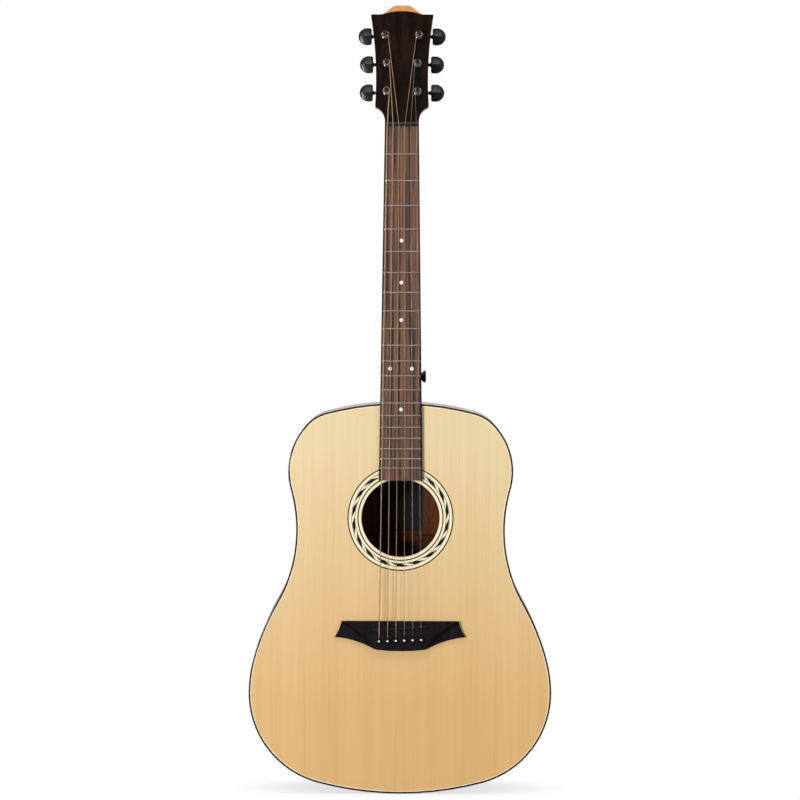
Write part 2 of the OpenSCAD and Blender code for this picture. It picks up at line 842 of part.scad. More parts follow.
// The place of a dot on the crowned face, with z square to the face
module at_dot(d) {
    translate([0, (fret_y(d[0]) + fret_y(d[0] - 1)) / 2, board_top_z - board_radius])
        rotate([0, asin(d[1] / board_radius), 0])
            translate([0, 0, board_radius]) children();
}
module fingerboard_binding() {
    color(black) difference() {
        board_blank(0);
        translate([0, 0, front_z - past]) linear_extrude(board_t + 3 * past) board_plan(board_edge);
    }
}
module frets() {
    color(steel) for (n = [1:fret_count]) {
        intersection() {
            across_board(n, fret_w, front_z, board_top_z + 3, board_edge + 0.1);
            difference() {
                crown(fret_h);
                crown(0.02);
            }
        }
        intersection() {
            across_board(
                n, slot_w - 0.1, board_top_z - tang_depth - 0.8, board_top_z + 0.3, board_edge + 0.1
            );
            crown(0.1);
        }
    }
}
module position_dots() {
    color(cream) for (d = dots) at_dot(d) translate([0, 0, -dot_depth]) cylinder(r = dot_r, h = dot_depth);
}
module nut() {
    color(black) difference() {
        translate([-nut_width / 2, 0, 0]) rotate([90, 0, 90]) linear_extrude(nut_width) polygon([
            [nut_y, front_z], [nut_y + nut_t - 1, front_z], [nut_y + nut_t - 0.3, front_z + 3],
            [nut_y + nut_t - 0.3, board_top_z + 0.3], [nut_y + 3.5, board_top_z + 1.9],
            [nut_y + 1, board_top_z + 2.5], [nut_y, board_top_z + 2.3]
        ]);
        for (i = [0:5]) nut_slot(i);
    }
}
module nut_slot(i) {
    for (end = [at_saddle(i), from_head(at_post(i))]) {
        way = end - at_nut(i);
        w = string_d[i] + 2 * run;
        translate(at_nut(i))
            rotate([0, 0, atan2(way[1], way[0]) - 90])
                rotate([atan2(way[2], norm([way[0], way[1]])), 0, 0])
                    translate([-w / 2, -0.4, -w / 2]) cube([w, 12, 6]);
    }
}

// ---------- tuners ----------

// Tuner t serves string t. Three sit on each side, and the middle strings go to the posts at the tip.
tuner_row = [2, 1, 0, 0, 1, 2];
bushing_r = 4.5;
housing_screw_r = 1.2;
housing_screw_len = 9;
wheel_r = 3.5;
wheel_t = 2.6;
tooth_h = 0.4;
tooth_w = 0.5;
worm_r = 2.1;
worm_len = 8;
worm_y = wheel_r + worm_r + run;
worm_z = -head_t - 7.6;
shaft_r = 1.5;
button_gap = 17.9;
button_w = 17.5;
button_h = 23.6;
button_t = 7;
post_top = 12;
function tuner_side(t) = t < 3 ? -1 : 1;
function post_x(t) = tuner_side(t) * post_out[tuner_row[t]];
function post_y(t) = first_post + (2 - tuner_row[t]) * post_pitch;
// The point where string t touches the inner side of its post, in the headstock's own frame
function at_post(t) = let (
    start = to_head(at_nut(t)),
    way = [post_x(t) - start[0], post_y(t) - start[1]],
    reach = post_r + string_r(t) + run,
    turn = atan2(way[1], way[0]) - tuner_side(t) * -asin(reach / norm(way)),
    long = sqrt(norm(way) * norm(way) - reach * reach)
) [start[0] + long * cos(turn), start[1] + long * sin(turn), string_level];

module on_tuner(t) {
    on_head() translate([post_x(t), post_y(t), 0]) scale([tuner_side(t), 1, 1]) children();
}
// The string post, its worm wheel and the turns of string on it
module string_post(t) {
    turns = t < 4 ? 3 : 5;
    wire = string_d[t] + 0.03;
    on_tuner(t) {
        color(black) difference() {
            translate([0, 0, worm_z - 4]) cylinder(r = post_r, h = post_top - worm_z + 4);
            translate([0, 0, post_top - 1.5]) cylinder(r = 1.7, h = 2);
            translate([-5, 0, post_top - 3.4]) rotate([0, 90, 0]) cylinder(r = 0.9, h = 10, $fn = 32);
            translate([0, 0, worm_z]) cylinder(r = post_r + past, h = wheel_t + 0.1, center = true);
        }
        color(bronze) {
            translate([0, 0, worm_z]) cylinder(r = wheel_r - tooth_h, h = wheel_t, center = true);
            for (k = [0:wheel_teeth - 1]) rotate([0, 0, 360 * k / wheel_teeth])
                translate([0, -tooth_w / 2, worm_z - wheel_t / 2]) cube([wheel_r, tooth_w, wheel_t]);
        }
        color(t < 4 ? bronze : steel) for (k = [1:turns])
            translate([0, 0, string_level + k * wire + 0.02])
                rotate_extrude()
                    translate([post_r + string_r(t) + 0.02, 0]) circle(r = string_r(t), $fn = 24);
    }
}
// The worm on its shaft, lying across the tip side of the wheel. Its ribs stand for the thread.
thread_pitch = 1.36;
thread_h = 0.5;
thread_flank = 0.4;
shaft_tail = 7.4;
shaft_in_button = 9;
module worm_shaft(t) {
    color(steel) on_tuner(t) translate([0, worm_y, worm_z]) rotate([0, 90, 0]) {
        translate([0, 0, -shaft_tail])
            cylinder(r = shaft_r, h = shaft_tail + button_gap + shaft_in_button, $fn = 48);
        translate([0, 0, -worm_len / 2]) rotate_extrude() polygon(concat(
            [[0, 0], [shaft_r, 0]],
            [for (k = [0:4]) let (y = 0.6 + thread_pitch * k) each [
                [worm_r - thread_h, y],
                [worm_r, y + thread_flank],
                [worm_r, y + 2 * thread_flank],
                [worm_r - thread_h, y + 3 * thread_flank]
            ]],
            [[shaft_r, worm_len], [0, worm_len]]
        ));
    }
}
// A half moon with a straight inner side, on a tapering collar
module button_plan() {
    intersection() {
        translate([button_w - button_h / 2, 0]) circle(d = button_h);
        translate([0, -button_h]) square([button_w, 2 * button_h]);
    }
    translate([1, -button_h / 2 + 1]) square([button_w - button_h / 2, button_h - 2]);
}
module tuner_button(t) {
    collar = 3.4;
    color(black) on_tuner(t) translate([button_gap, worm_y, worm_z]) difference() {
        union() {
            translate([0, 0, -button_t / 2]) linear_extrude(button_t) button_plan();
            translate([-collar, 0, 0]) rotate([0, 90, 0]) cylinder(r1 = 2.3, r2 = 3.4, h = collar + 1);
        }
        translate([-collar - past, 0, 0])
            rotate([0, 90, 0]) cylinder(r = shaft_r + run, h = collar + past + shaft_in_button + 0.1);
    }
}

housing_wall = 1.2;
housing_x0 = -8.8;
housing_x1 = 8;
housing_y0 = -6.5;
housing_y1 = 10;
housing_depth = 13;
function housing_screw_x(t) = post_x(t);
function housing_screw_y(t) = post_y(t) + housing_y0 - 2.6;
module housing_solid(inset) {
    translate([housing_x0 + inset, housing_y0 + inset, -head_t - housing_depth + inset])
        cube([
            housing_x1 - housing_x0 - 2 * inset,
            housing_y1 - housing_y0 - 2 * inset,
            housing_depth - 2 * inset
        ]);
}
module tuner_housing(t) {
    on_tuner(t) difference() {
        union() {
            housing_solid(0);
            translate([housing_x1 - 1, worm_y, worm_z]) rotate([0, 90, 0]) cylinder(r = 3, h = 5.6);
            translate([-3, housing_y0 - 5.4, -head_t - 1.4]) cube([6, 6, 1.4]);
        }
        housing_solid(housing_wall);
        translate([0, 0, worm_z - 4.2]) cylinder(r = post_r + run, h = 20);
        translate([-7.6, worm_y, worm_z]) rotate([0, 90, 0]) cylinder(r = shaft_r + run, h = 30);
        translate([0, housing_y0 - 2.6, -head_t - 5]) cylinder(r = housing_screw_r + run, h = 10, $fn = 32);
    }
}
module tuner_housings() {
    color(black) for (t = [0:5]) tuner_housing(t);
}
module tuner_bushings() {
    color(black) for (t = [0:5]) on_tuner(t) difference() {
        union() {
            translate([0, 0, -12]) cylinder(r = bushing_r, h = 13);
            cylinder(r = 6.2, h = 0.8);
            translate([0, 0, 0.5]) cylinder(r = 5.6, h = 2.1, $fn = 6);
        }
        translate([0, 0, -13]) cylinder(r = post_r + run, h = 17);
    }
}
module tuner_screws() {
    color(black) for (t = [0:5]) on_head() translate([housing_screw_x(t), housing_screw_y(t), -head_t]) {
        translate([0, 0, -2]) cylinder(r = housing_screw_r, h = housing_screw_len + 1.5, $fn = 32);
        translate([0, 0, -2.8]) cylinder(r = 2.3, h = 1.3, $fn = 48);
    }
}

// ---------- parts ----------

upright() top_plate();
upright() rosette_light();
upright() rosette_dark();
upright() back_plate();
upright() side(-1);  // side_bass
upright() side(1);  // side_treble
upright() binding();
upright() purfling();
upright() linings();
upright() neck_block();
upright() tail_block();
upright() bridge_plate();
upright() top_braces();
upright() back_braces();
upright() label();
upright() bridge();
upright() saddle();
upright() bridge_pin(0);  // bridge_pin_1
upright() bridge_pin(1);  // bridge_pin_2
upright() bridge_pin(2);  // bridge_pin_3
upright() bridge_pin(3);  // bridge_pin_4
upright() bridge_pin(4);  // bridge_pin_5
upright() bridge_pin(5);  // bridge_pin_6
upright() neck();
upright() truss_rod();
upright() truss_rod_nut();
upright() fingerboard();
upright() fingerboard_binding();
upright() frets();
upright() position_dots();
upright() nut();
upright() headstock_veneer();
upright() headstock_cap();
upright() heel_cap();
upright() strap_button();
upright() strap_button_screw();
upright() tuner_housings();
upright() tuner_bushings();
upright() tuner_screws();
upright() plain_strings();
upright() wound_strings();
upright() string_ball_ends();
upright() string_post(0);  // string_post_1
upright() string_post(1);  // string_post_2
upright() string_post(2);  // string_post_3
upright() string_post(3);  // string_post_4
upright() string_post(4);  // string_post_5
upright() string_post(5);  // string_post_6
upright() worm_shaft(0);  // worm_shaft_1
upright() worm_shaft(1);  // worm_shaft_2
upright() worm_shaft(2);  // worm_shaft_3
upright() worm_shaft(3);  // worm_shaft_4
upright() worm_shaft(4);  // worm_shaft_5
upright() worm_shaft(5);  // worm_shaft_6
upright() tuner_button(0);  // tuner_button_1
upright() tuner_button(1);  // tuner_button_2
upright() tuner_button(2);  // tuner_button_3
upright() tuner_button(3);  // tuner_button_4
upright() tuner_button(4);  // tuner_button_5
upright() tuner_button(5);  // tuner_button_6
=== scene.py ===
"""Looks of a steel-string acoustic guitar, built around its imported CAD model.

Everything is in metres in the CAD frame: x to the treble side, y to the back, z up the neck.
"""

import json
import math

import bmesh
import bpy
from mathutils import Matrix, Vector


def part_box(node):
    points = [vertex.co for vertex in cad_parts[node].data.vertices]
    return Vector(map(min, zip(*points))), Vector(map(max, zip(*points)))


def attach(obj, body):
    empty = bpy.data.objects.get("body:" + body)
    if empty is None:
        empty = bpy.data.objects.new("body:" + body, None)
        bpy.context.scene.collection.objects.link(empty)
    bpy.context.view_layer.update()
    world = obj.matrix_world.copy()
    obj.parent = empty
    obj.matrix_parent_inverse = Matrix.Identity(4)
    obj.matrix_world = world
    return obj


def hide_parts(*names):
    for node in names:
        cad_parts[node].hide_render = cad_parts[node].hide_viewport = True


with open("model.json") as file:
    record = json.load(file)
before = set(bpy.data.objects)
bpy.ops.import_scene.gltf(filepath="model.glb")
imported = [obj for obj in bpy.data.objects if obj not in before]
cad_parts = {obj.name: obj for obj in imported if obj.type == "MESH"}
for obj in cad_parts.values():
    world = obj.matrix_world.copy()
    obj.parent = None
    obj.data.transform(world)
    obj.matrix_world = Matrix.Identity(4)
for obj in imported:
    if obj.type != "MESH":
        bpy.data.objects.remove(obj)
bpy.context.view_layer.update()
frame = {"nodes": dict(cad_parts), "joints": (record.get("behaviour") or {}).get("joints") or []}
MM = 0.001
JOINTS = {joint["name"]: joint for joint in frame["joints"]}


# ---------- frame measures ----------

def low(node):
    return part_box(node)[0]


def high(node):
    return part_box(node)[1]


FRONT_Y = low("top_plate").y
BODY_TOP = high("side_treble").z
NUT_Z = low("nut").z
NUT_T = 6.2 * MM
BOARD_END_Z = low("fingerboard").z
BOARD_T = 6 * MM
BOARD_HALF_END = high("fingerboard_binding").x
BOARD_HALF_NUT = high("nut").x
BOARD_RADIUS = 0.406
HOLE = Vector((0, FRONT_Y, (low("rosette_dark").z + high("rosette_dark").z) / 2))

# The headstock's own axes: across, along to the tip, and out of its face
HEAD_N = Vector(JOINTS["post_turn_1"]["axis"]).normalized()
HEAD_D = Vector((0, HEAD_N.z, -HEAD_N.y))
HEAD_O = Vector((0, FRONT_Y - 2 * MM, NUT_Z + NUT_T))


def on_head(x, along, out):
    return HEAD_O + Vector((x, 0, 0)) + HEAD_D * along + HEAD_N * out


def board_half(z):
    share = (NUT_Z - z) / (NUT_Z - BOARD_END_Z)
    return BOARD_HALF_NUT + (BOARD_HALF_END - BOARD_HALF_NUT) * share


# ---------- materials ----------

def rgb(red, green, blue):
    """A screen colour of 0 to 255 as linear light."""
    def linear(value):
        value = value / 255
        return value / 12.92 if value <= 0.04045 else ((value + 0.055) / 1.055) ** 2.4
    return (linear(red), linear(green), linear(blue), 1)


class Shader:
    """A node material under construction, with one helper for each kind of node in use."""

    def __init__(self, name):
        self.material = bpy.data.materials.new(name)
        self.material.use_nodes = True
        self.tree = self.material.node_tree
        self.surface = self.tree.nodes["Principled BSDF"]
        self.place = self.tree.nodes.new("ShaderNodeTexCoord").outputs["Object"]

    def node(self, kind, inputs, **settings):
        made = self.tree.nodes.new(kind)
        for name, value in settings.items():
            setattr(made, name, value)
        for name, value in inputs.items():
            self.feed(made.inputs[name], value)
        return made

    def feed(self, socket, value):
        if isinstance(value, bpy.types.NodeSocket):
            self.tree.links.new(value, socket)
        else:
            socket.default_value = value

    def set(self, **inputs):
        for name, value in inputs.items():
            self.feed(self.surface.inputs[name.replace("_", " ")], value)

    def math(self, operation, a, b=0.0):
        return self.node("ShaderNodeMath", {0: a, 1: b}, operation=operation).outputs[0]

    def split(self, vector):
        return self.node("ShaderNodeSeparateXYZ", {0: vector}).outputs

    def join(self, x, y, z):
        return self.node("ShaderNodeCombineXYZ", {0: x, 1: y, 2: z}).outputs[0]

    def noise(self, scale, detail=3.0, roughness=0.5, warp=0.0, place=None):
        """Noise with a scale for each axis, in features per metre."""
        stretched = self.node(
            "ShaderNodeVectorMath", {0: place or self.place, 1: scale}, operation="MULTIPLY"
        ).outputs[0]
        return self.node(
            "ShaderNodeTexNoise",
            {"Vector": stretched, "Scale": 1.0, "Detail": detail, "Roughness": roughness, "Distortion": warp},
        ).outputs["Fac"]

    def ramp(self, value, *stops):
        """A colour ramp through (position, colour) stops."""
        made = self.node("ShaderNodeValToRGB", {"Fac": value})
        elements = made.color_ramp.elements
        while len(elements) < len(stops):
            elements.new(0.5)
        for element, (position, colour) in zip(elements, stops):
            element.position = position
            element.color = colour
        return made.outputs["Color"]

    def level(self, value, low_in, high_in, low_out, high_out):
        return self.node(
            "ShaderNodeMapRange",
            {"Value": value, "From Min": low_in, "From Max": high_in, "To Min": low_out, "To Max": high_out},
        ).outputs[0]

    def mix(self, share, a, b, blend="MIX"):
        made = self.tree.nodes.new("ShaderNodeMix")
        made.data_type = "RGBA"
        made.blend_type = blend
        self.feed(made.inputs[0], share)
        self.feed(made.inputs[6], a)
        self.feed(made.inputs[7], b)
        return made.outputs[2]

    def bump(self, height, distance, strength=1.0, under=None):
        inputs = {"Height": height, "Distance": distance, "Strength": strength}
        if under is not None:
            inputs["Normal"] = under
        return self.node("ShaderNodeBump", inputs).outputs[0]


def spruce(name, light, dark, lacquered=True):
    """Straight close grain up the neck axis, mirrored at the centre joint, with fine silk across it.

    Painted shade makes the wood a little darker and warmer in tone towards the tail.
    """
    shader = Shader(name)
    x, y, z = shader.split(shader.place)
    place = shader.join(shader.math("ABSOLUTE", x), y, z)
    rings = shader.noise((520, 30, 4), 3, 0.55, 0.3, place)
    fine = shader.noise((1500, 90, 14), 2, 0.5, 0.0, place)
    broad = shader.noise((34, 6, 1.6), 2, 0.5, 0.2, place)
    silk = shader.noise((160, 40, 620), 2, 0.6, 0.5, place)
    grain = shader.math("ADD", shader.math("MULTIPLY", rings, 0.55), shader.math("MULTIPLY", broad, 0.45))
    colour = shader.ramp(grain, (0.34, light), (0.66, dark))
    colour = shader.mix(shader.level(fine, 0.35, 0.75, 0.0, 0.16), colour, dark)
    colour = shader.mix(shader.level(silk, 0.55, 0.8, 0.0, 0.22), colour, light)
    # Painted shade: the colour is multiplied darker and warmer towards the tail
    tail_shade = shader.level(z, 0.12, 0.46, 1.0, 0.0)
    colour = shader.mix(tail_shade, colour, rgb(246, 220, 188), "MULTIPLY")
    shader.set(
        Base_Color=colour,
        Roughness=shader.level(grain, 0.3, 0.7, 0.34, 0.44) if lacquered else 0.75,
        Normal=shader.bump(rings, 0.00006, 0.5),
    )
    if lacquered:
        shader.set(Coat_Weight=0.35, Coat_Roughness=0.16)
    return shader.material


def pored_wood(
    name, light, dark, pore, long_axis="z", gloss=0.32, coat=0.4, figure=26.0, shine=0.5, bare_shaded_front=False
):
    """An open-pored wood such as mahogany: ribbon figure, soft stripes and short dark pores along its grain.

    With a bare front, a plate is lacquered on its back only, and its inner face gets painted shade: darker, towards
    the pore colour.
    """
    shader = Shader(name)

    def along(across, length):
        return (across, across, length) if long_axis == "z" else (length, across, length)

    stripes = shader.noise(along(170, 5), 3, 0.6, 0.4)
    ribbon = shader.noise(along(figure, 1.5), 3, 0.5, 0.6)
    pores = shader.noise(along(1700, 75), 2, 0.6, 0.1)
    painted_sheen = shader.noise(along(30, 45), 2, 0.5, 0.4)
    tone = shader.math("ADD", shader.math("MULTIPLY", stripes, 0.5), shader.math("MULTIPLY", ribbon, 0.5))
    colour = shader.ramp(tone, (0.36, dark), (0.64, light))
    # Painted sheen: broad patches mixed towards the light colour
    colour = shader.mix(shader.level(painted_sheen, 0.4, 0.75, 0.0, 0.25), colour, light)
    pits = shader.level(pores, 0.58, 0.66, 0.0, 1.0)
    colour = shader.mix(shader.math("MULTIPLY", pits, 0.75), colour, pore)
    rough = shader.level(pits, 0.0, 1.0, gloss, gloss + 0.2)
    if bare_shaded_front:
        facing = shader.split(shader.node("ShaderNodeNewGeometry", {}).outputs["Normal"])[1]
        lacquer_and_shade = shader.level(facing, -0.1, 0.1, 0.0, 1.0)
        # Painted shade: the unlacquered inner face is mixed towards the pore colour, as shade inside the body
        colour = shader.mix(shader.level(lacquer_and_shade, 0.0, 1.0, 0.35, 0.0), colour, pore)
        rough = shader.math("SUBTRACT", shader.math("ADD", rough, 0.4), shader.math("MULTIPLY", lacquer_and_shade, 0.4))
        coat = shader.math("MULTIPLY", lacquer_and_shade, coat)
        shine = shader.level(lacquer_and_shade, 0.0, 1.0, 0.08, shine)
    shader.set(
        Base_Color=colour,
        Roughness=rough,
        Normal=shader.bump(pits, -0.00008, 0.5),
        Coat_Weight=coat,
        Coat_Roughness=0.14,
        Specular_IOR_Level=shine,
    )
    return shader.material


def striped_wood(name, stops, pore, gloss=0.42, shine=0.3, across=210.0):
    """A dark striped wood such as rosewood: uneven lengthwise stripes of several browns, with long pores."""
    shader = Shader(name)
    stripes = shader.noise((across, across, 3.2), 4, 0.62, 0.25)
    patches = shader.noise((90, 60, 9), 2, 0.5, 0.3)
    threads = shader.noise((1300, 1300, 26), 2, 0.6, 0.1)
    tone = shader.math("ADD", shader.math("MULTIPLY", stripes, 0.8), shader.math("MULTIPLY", patches, 0.2))
    colour = shader.ramp(tone, *stops)
    pits = shader.level(threads, 0.56, 0.68, 0.0, 1.0)
    colour = shader.mix(shader.math("MULTIPLY", pits, 0.7), colour, pore)
    shader.set(
        Base_Color=colour,
        Roughness=shader.level(tone, 0.3, 0.7, gloss + 0.08, gloss - 0.06),
        Normal=shader.bump(pits, -0.0001, 0.45),
        Specular_IOR_Level=shine,
    )
    return shader.material


def moulded(name, colour, shade, gloss, coat=0.0, cloud=60.0, metal=0.0, bump=0.00002, shine=0.5):
    """Plastic, plating or inlay: an even colour with faint clouding, fine scuffs and a soft surface ripple."""
    shader = Shader(name)
    clouds = shader.noise((cloud, cloud, cloud), 3, 0.5)
    scuffs = shader.noise((900, 700, 2600), 3, 0.65, 0.4)
    ripple = shader.noise((420, 420, 420), 2, 0.5)
    shader.set(
        Base_Color=shader.mix(shader.level(clouds, 0.35, 0.7, 0.0, 1.0), colour, shade),
        Roughness=shader.level(scuffs, 0.4, 0.75, gloss, gloss + 0.14),
        Metallic=metal,
        Normal=shader.bump(ripple, bump, 0.4),
        Coat_Weight=coat,
        Coat_Roughness=0.08,
        Specular_IOR_Level=shine,
    )
    return shader.material


def wire(name, colour, shade, pitch, gloss, metal=1.0):
    """String wire. A pitch above zero winds it: fine ridges round the wire, darker between them."""
    shader = Shader(name)
    tarnish = shader.noise((300, 300, 40), 3, 0.6)
    tone = shader.mix(shader.level(tarnish, 0.4, 0.7, 0.0, 0.8), colour, shade)
    shader.set(Metallic=metal, Roughness=shader.level(tarnish, 0.3, 0.7, gloss, gloss + 0.12))
    if pitch > 0:
        z = shader.split(shader.place)[2]
        ridge = shader.math("SINE", shader.math("MULTIPLY", z, 2 * math.pi / pitch))
        tone = shader.mix(shader.level(ridge, -1.0, 0.2, 0.6, 0.0), tone, rgb(84, 60, 42))
        shader.set(Normal=shader.bump(ridge, 0.00006, 0.8))
    shader.set(Base_Color=tone)
    return shader.material


def paper(name, colour, shade):
    """Uncoated paper with a faint fibre mottling."""
    shader = Shader(name)
    fibres = shader.noise((900, 900, 1400), 4, 0.7, 0.6)
    shader.set(
        Base_Color=shader.mix(shader.level(fibres, 0.35, 0.7, 0.0, 1.0), colour, shade),
        Roughness=0.85,
        Normal=shader.bump(fibres, 0.00005, 0.5),
    )
    return shader.material


MAT = {
    "spruce_top": spruce("spruce_top", rgb(238, 218, 174), rgb(228, 203, 152)),
    "spruce_inside": spruce("spruce_inside", rgb(226, 200, 152), rgb(198, 164, 112), lacquered=False),
    "mahogany": pored_wood("mahogany", rgb(142, 84, 50), rgb(96, 50, 28), rgb(44, 20, 12)),
    "mahogany_sides": pored_wood(
        "mahogany_sides", rgb(142, 84, 50), rgb(96, 50, 28), rgb(44, 20, 12), long_axis="xz"
    ),
    # The back's inner face gets painted shade inside the body
    "mahogany_back": pored_wood(
        "mahogany_back", rgb(142, 84, 50), rgb(96, 50, 28), rgb(44, 20, 12), bare_shaded_front=True
    ),
    # Painted shade: a darker copy of the mahogany for the wood inside the body; its bare, rough finish is real
    "mahogany_inside": pored_wood(
        "mahogany_inside", rgb(92, 48, 24), rgb(60, 30, 15), rgb(34, 16, 8), gloss=0.75, coat=0.0, shine=0.08
    ),
    "fingerboard_wood": striped_wood(
        "fingerboard_wood",
        ((0.32, rgb(26, 18, 18)), (0.44, rgb(66, 46, 38)), (0.53, rgb(132, 91, 68)), (0.64, rgb(52, 42, 41))),
        rgb(20, 13, 12),
    ),
    "dark_wood": striped_wood(
        "dark_wood",
        ((0.30, rgb(14, 8, 5)), (0.48, rgb(22, 13, 8)), (0.62, rgb(40, 22, 15)), (0.74, rgb(16, 9, 7))),
        rgb(6, 4, 4), gloss=0.5, shine=0.04, across=90.0,
    ),
    "bridge_wood": striped_wood(
        "bridge_wood",
        ((0.30, rgb(13, 9, 12)), (0.5, rgb(20, 15, 19)), (0.62, rgb(30, 23, 28)), (0.76, rgb(16, 12, 15))),
        rgb(7, 5, 7), gloss=0.4, shine=0.08,
    ),
    "binding_brown": moulded("binding_brown", rgb(50, 24, 10), rgb(34, 14, 5), 0.2, coat=0.5, cloud=25.0),
    "cream_inlay": moulded("cream_inlay", rgb(255, 244, 214), rgb(246, 228, 186), 0.3, coat=0.3),
    "dark_inlay": moulded("dark_inlay", rgb(16, 9, 4), rgb(10, 6, 3), 0.35, shine=0.08),
    "maple": pored_wood("maple", rgb(226, 164, 92), rgb(196, 126, 60), rgb(150, 92, 42), gloss=0.28, coat=0.4),
    "black_plastic": moulded("black_plastic", rgb(9, 9, 11), rgb(6, 6, 7), 0.28, shine=0.3),
    "tuner_black": moulded("tuner_black", rgb(13, 13, 16), rgb(8, 8, 10), 0.3, shine=0.4),
    "dark_chrome": moulded("dark_chrome", rgb(190, 190, 194), rgb(158, 158, 164), 0.14, metal=1.0),
    "steel": wire("steel", rgb(190, 184, 180), rgb(150, 144, 140), 0.0, 0.4),
    "fret_metal": moulded("fret_metal", rgb(176, 169, 164), rgb(150, 143, 138), 0.3, metal=1.0),
    "bronze": wire("bronze", rgb(235, 202, 172), rgb(206, 168, 134), 0.3 * MM, 0.32, metal=0.75),
    "label_paper": paper("label_paper", rgb(34, 32, 34), rgb(26, 24, 26)),
    "pearl": moulded("pearl", rgb(250, 248, 244), rgb(226, 228, 232), 0.18, coat=0.6, cloud=900.0),
}


# ---------- mesh building ----------

def add(name, vertices, faces, material, body="guitar", sharp=38, replaces=(), bevel=0.0):
    """Makes a piece from vertices and faces, rides it on a body and shades it smooth between sharp edges."""
    mesh = bpy.data.meshes.new(name)
    mesh.from_pydata([tuple(v) for v in vertices], [], faces)
    tidy = bmesh.new()
    tidy.from_mesh(mesh)
    bmesh.ops.remove_doubles(tidy, verts=tidy.verts, dist=1e-7)
    bmesh.ops.dissolve_degenerate(tidy, edges=tidy.edges, dist=1e-8)
    bmesh.ops.recalc_face_normals(tidy, faces=tidy.faces)
    if bevel > 0:
        edges = [e for e in tidy.edges if len(e.link_faces) == 2 and e.calc_face_angle() > math.radians(sharp)]
        bmesh.ops.bevel(
            tidy, geom=edges, offset=bevel, segments=3, profile=0.5, affect="EDGES", clamp_overlap=True
        )
    tidy.to_mesh(mesh)
    tidy.free()
    mesh.shade_smooth()
    mesh.set_sharp_from_angle(angle=math.radians(sharp))
    piece = bpy.data.objects.new(name, mesh)
    bpy.context.scene.collection.objects.link(piece)
    piece.data.materials.append(MAT[material])
    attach(piece, body)
    if replaces:
        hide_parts(*replaces)
    return piece


def loft(rings, closed=True, caps=True):
    """Vertices and faces through rings of equally many points."""
    count = len(rings[0])
    vertices = [p for ring in rings for p in ring]
    faces = []
    for i in range(len(rings) - 1):
        for k in range(count if closed else count - 1):
            a = i * count + k
            b = i * count + (k + 1) % count
            faces.append((a, b, b + count, a + count))
    if caps:
        faces.append(tuple(reversed(range(count))))
        faces.append(tuple(range((len(rings) - 1) * count, len(rings) * count)))
    return vertices, faces


def basis(axis):
    """Two directions square to axis and to each other."""
    axis = axis.normalized()
    side = axis.cross(Vector((0, 0, 1)) if abs(axis.z) < 0.9 else Vector((1, 0, 0))).normalized()
    return side, axis.cross(side)


def lathe(origin, axis, profile, steps=48):
    """A turned shape: profile is a list of (radius, height along axis). A radius of zero closes an end."""
    u, v = basis(axis)
    axis = axis.normalized()
    rings = []
    for radius, height in profile:
        centre = origin + axis * height
        rings.append([
            centre + (u * math.cos(a) + v * math.sin(a)) * max(radius, 1e-6)
            for a in (2 * math.pi * k / steps for k in range(steps))
        ])
    return loft(rings)


def tube(path, radius, sides=12):
    """A round wire along a path of points."""
    path = [Vector(p) for p in path]
    rings = []
    u, _ = basis(path[1] - path[0])
    for i, point in enumerate(path):
        way = (path[min(i + 1, len(path) - 1)] - path[max(i - 1, 0)]).normalized()
        u = (u - way * u.dot(way)).normalized()
        v = way.cross(u)
        rings.append([
            point + (u * math.cos(a) + v * math.sin(a)) * radius
            for a in (2 * math.pi * k / sides for k in range(sides))
        ])
    return loft(rings)


def merge(*parts):
    """Several (vertices, faces) parts as one."""
    vertices, faces = [], []
    for part_vertices, part_faces in parts:
        start = len(vertices)
        vertices += list(part_vertices)
        faces += [tuple(i + start for i in face) for face in part_faces]
    return vertices, faces


def rounded(points, cut, steps=6):
    """A path with each inner corner replaced by a curve that starts cut before it and ends cut after it."""
    points = [Vector(p) for p in points]
    path = [points[0]]
    for before, corner, after in zip(points, points[1:], points[2:]):
        reach = min(cut, (corner - before).length / 2.1, (after - corner).length / 2.1)
        start = corner + (before - corner).normalized() * reach
        end = corner + (after - corner).normalized() * reach
        for k in range(steps + 1):
            t = k / steps
            path.append(start * (1 - t) ** 2 + corner * 2 * t * (1 - t) + end * t * t)
    path.append(points[-1])
    return path


def cut_away(piece, vertices, faces, operation="DIFFERENCE"):
    """Cuts a closed shape out of a piece, or joins it on."""
    mesh = bpy.data.meshes.new("cutter")
    mesh.from_pydata([tuple(v) for v in vertices], [], faces)
    shape = bmesh.new()
    shape.from_mesh(mesh)
    bmesh.ops.recalc_face_normals(shape, faces=shape.faces)
    shape.to_mesh(mesh)
    shape.free()
    cutter = bpy.data.objects.new("cutter", mesh)
    bpy.context.scene.collection.objects.link(cutter)
    modifier = piece.modifiers.new("cut", "BOOLEAN")
    modifier.operation = operation
    modifier.solver = "EXACT"
    modifier.object = cutter
    bpy.context.view_layer.update()
    graph = bpy.context.evaluated_depsgraph_get()
    result = bpy.data.meshes.new_from_object(piece.evaluated_get(graph))
    piece.modifiers.remove(modifier)
    old = piece.data
    piece.data = result
    bpy.data.meshes.remove(old)
    bpy.data.objects.remove(cutter)
    piece.data.shade_smooth()
    piece.data.set_sharp_from_angle(angle=math.radians(38))


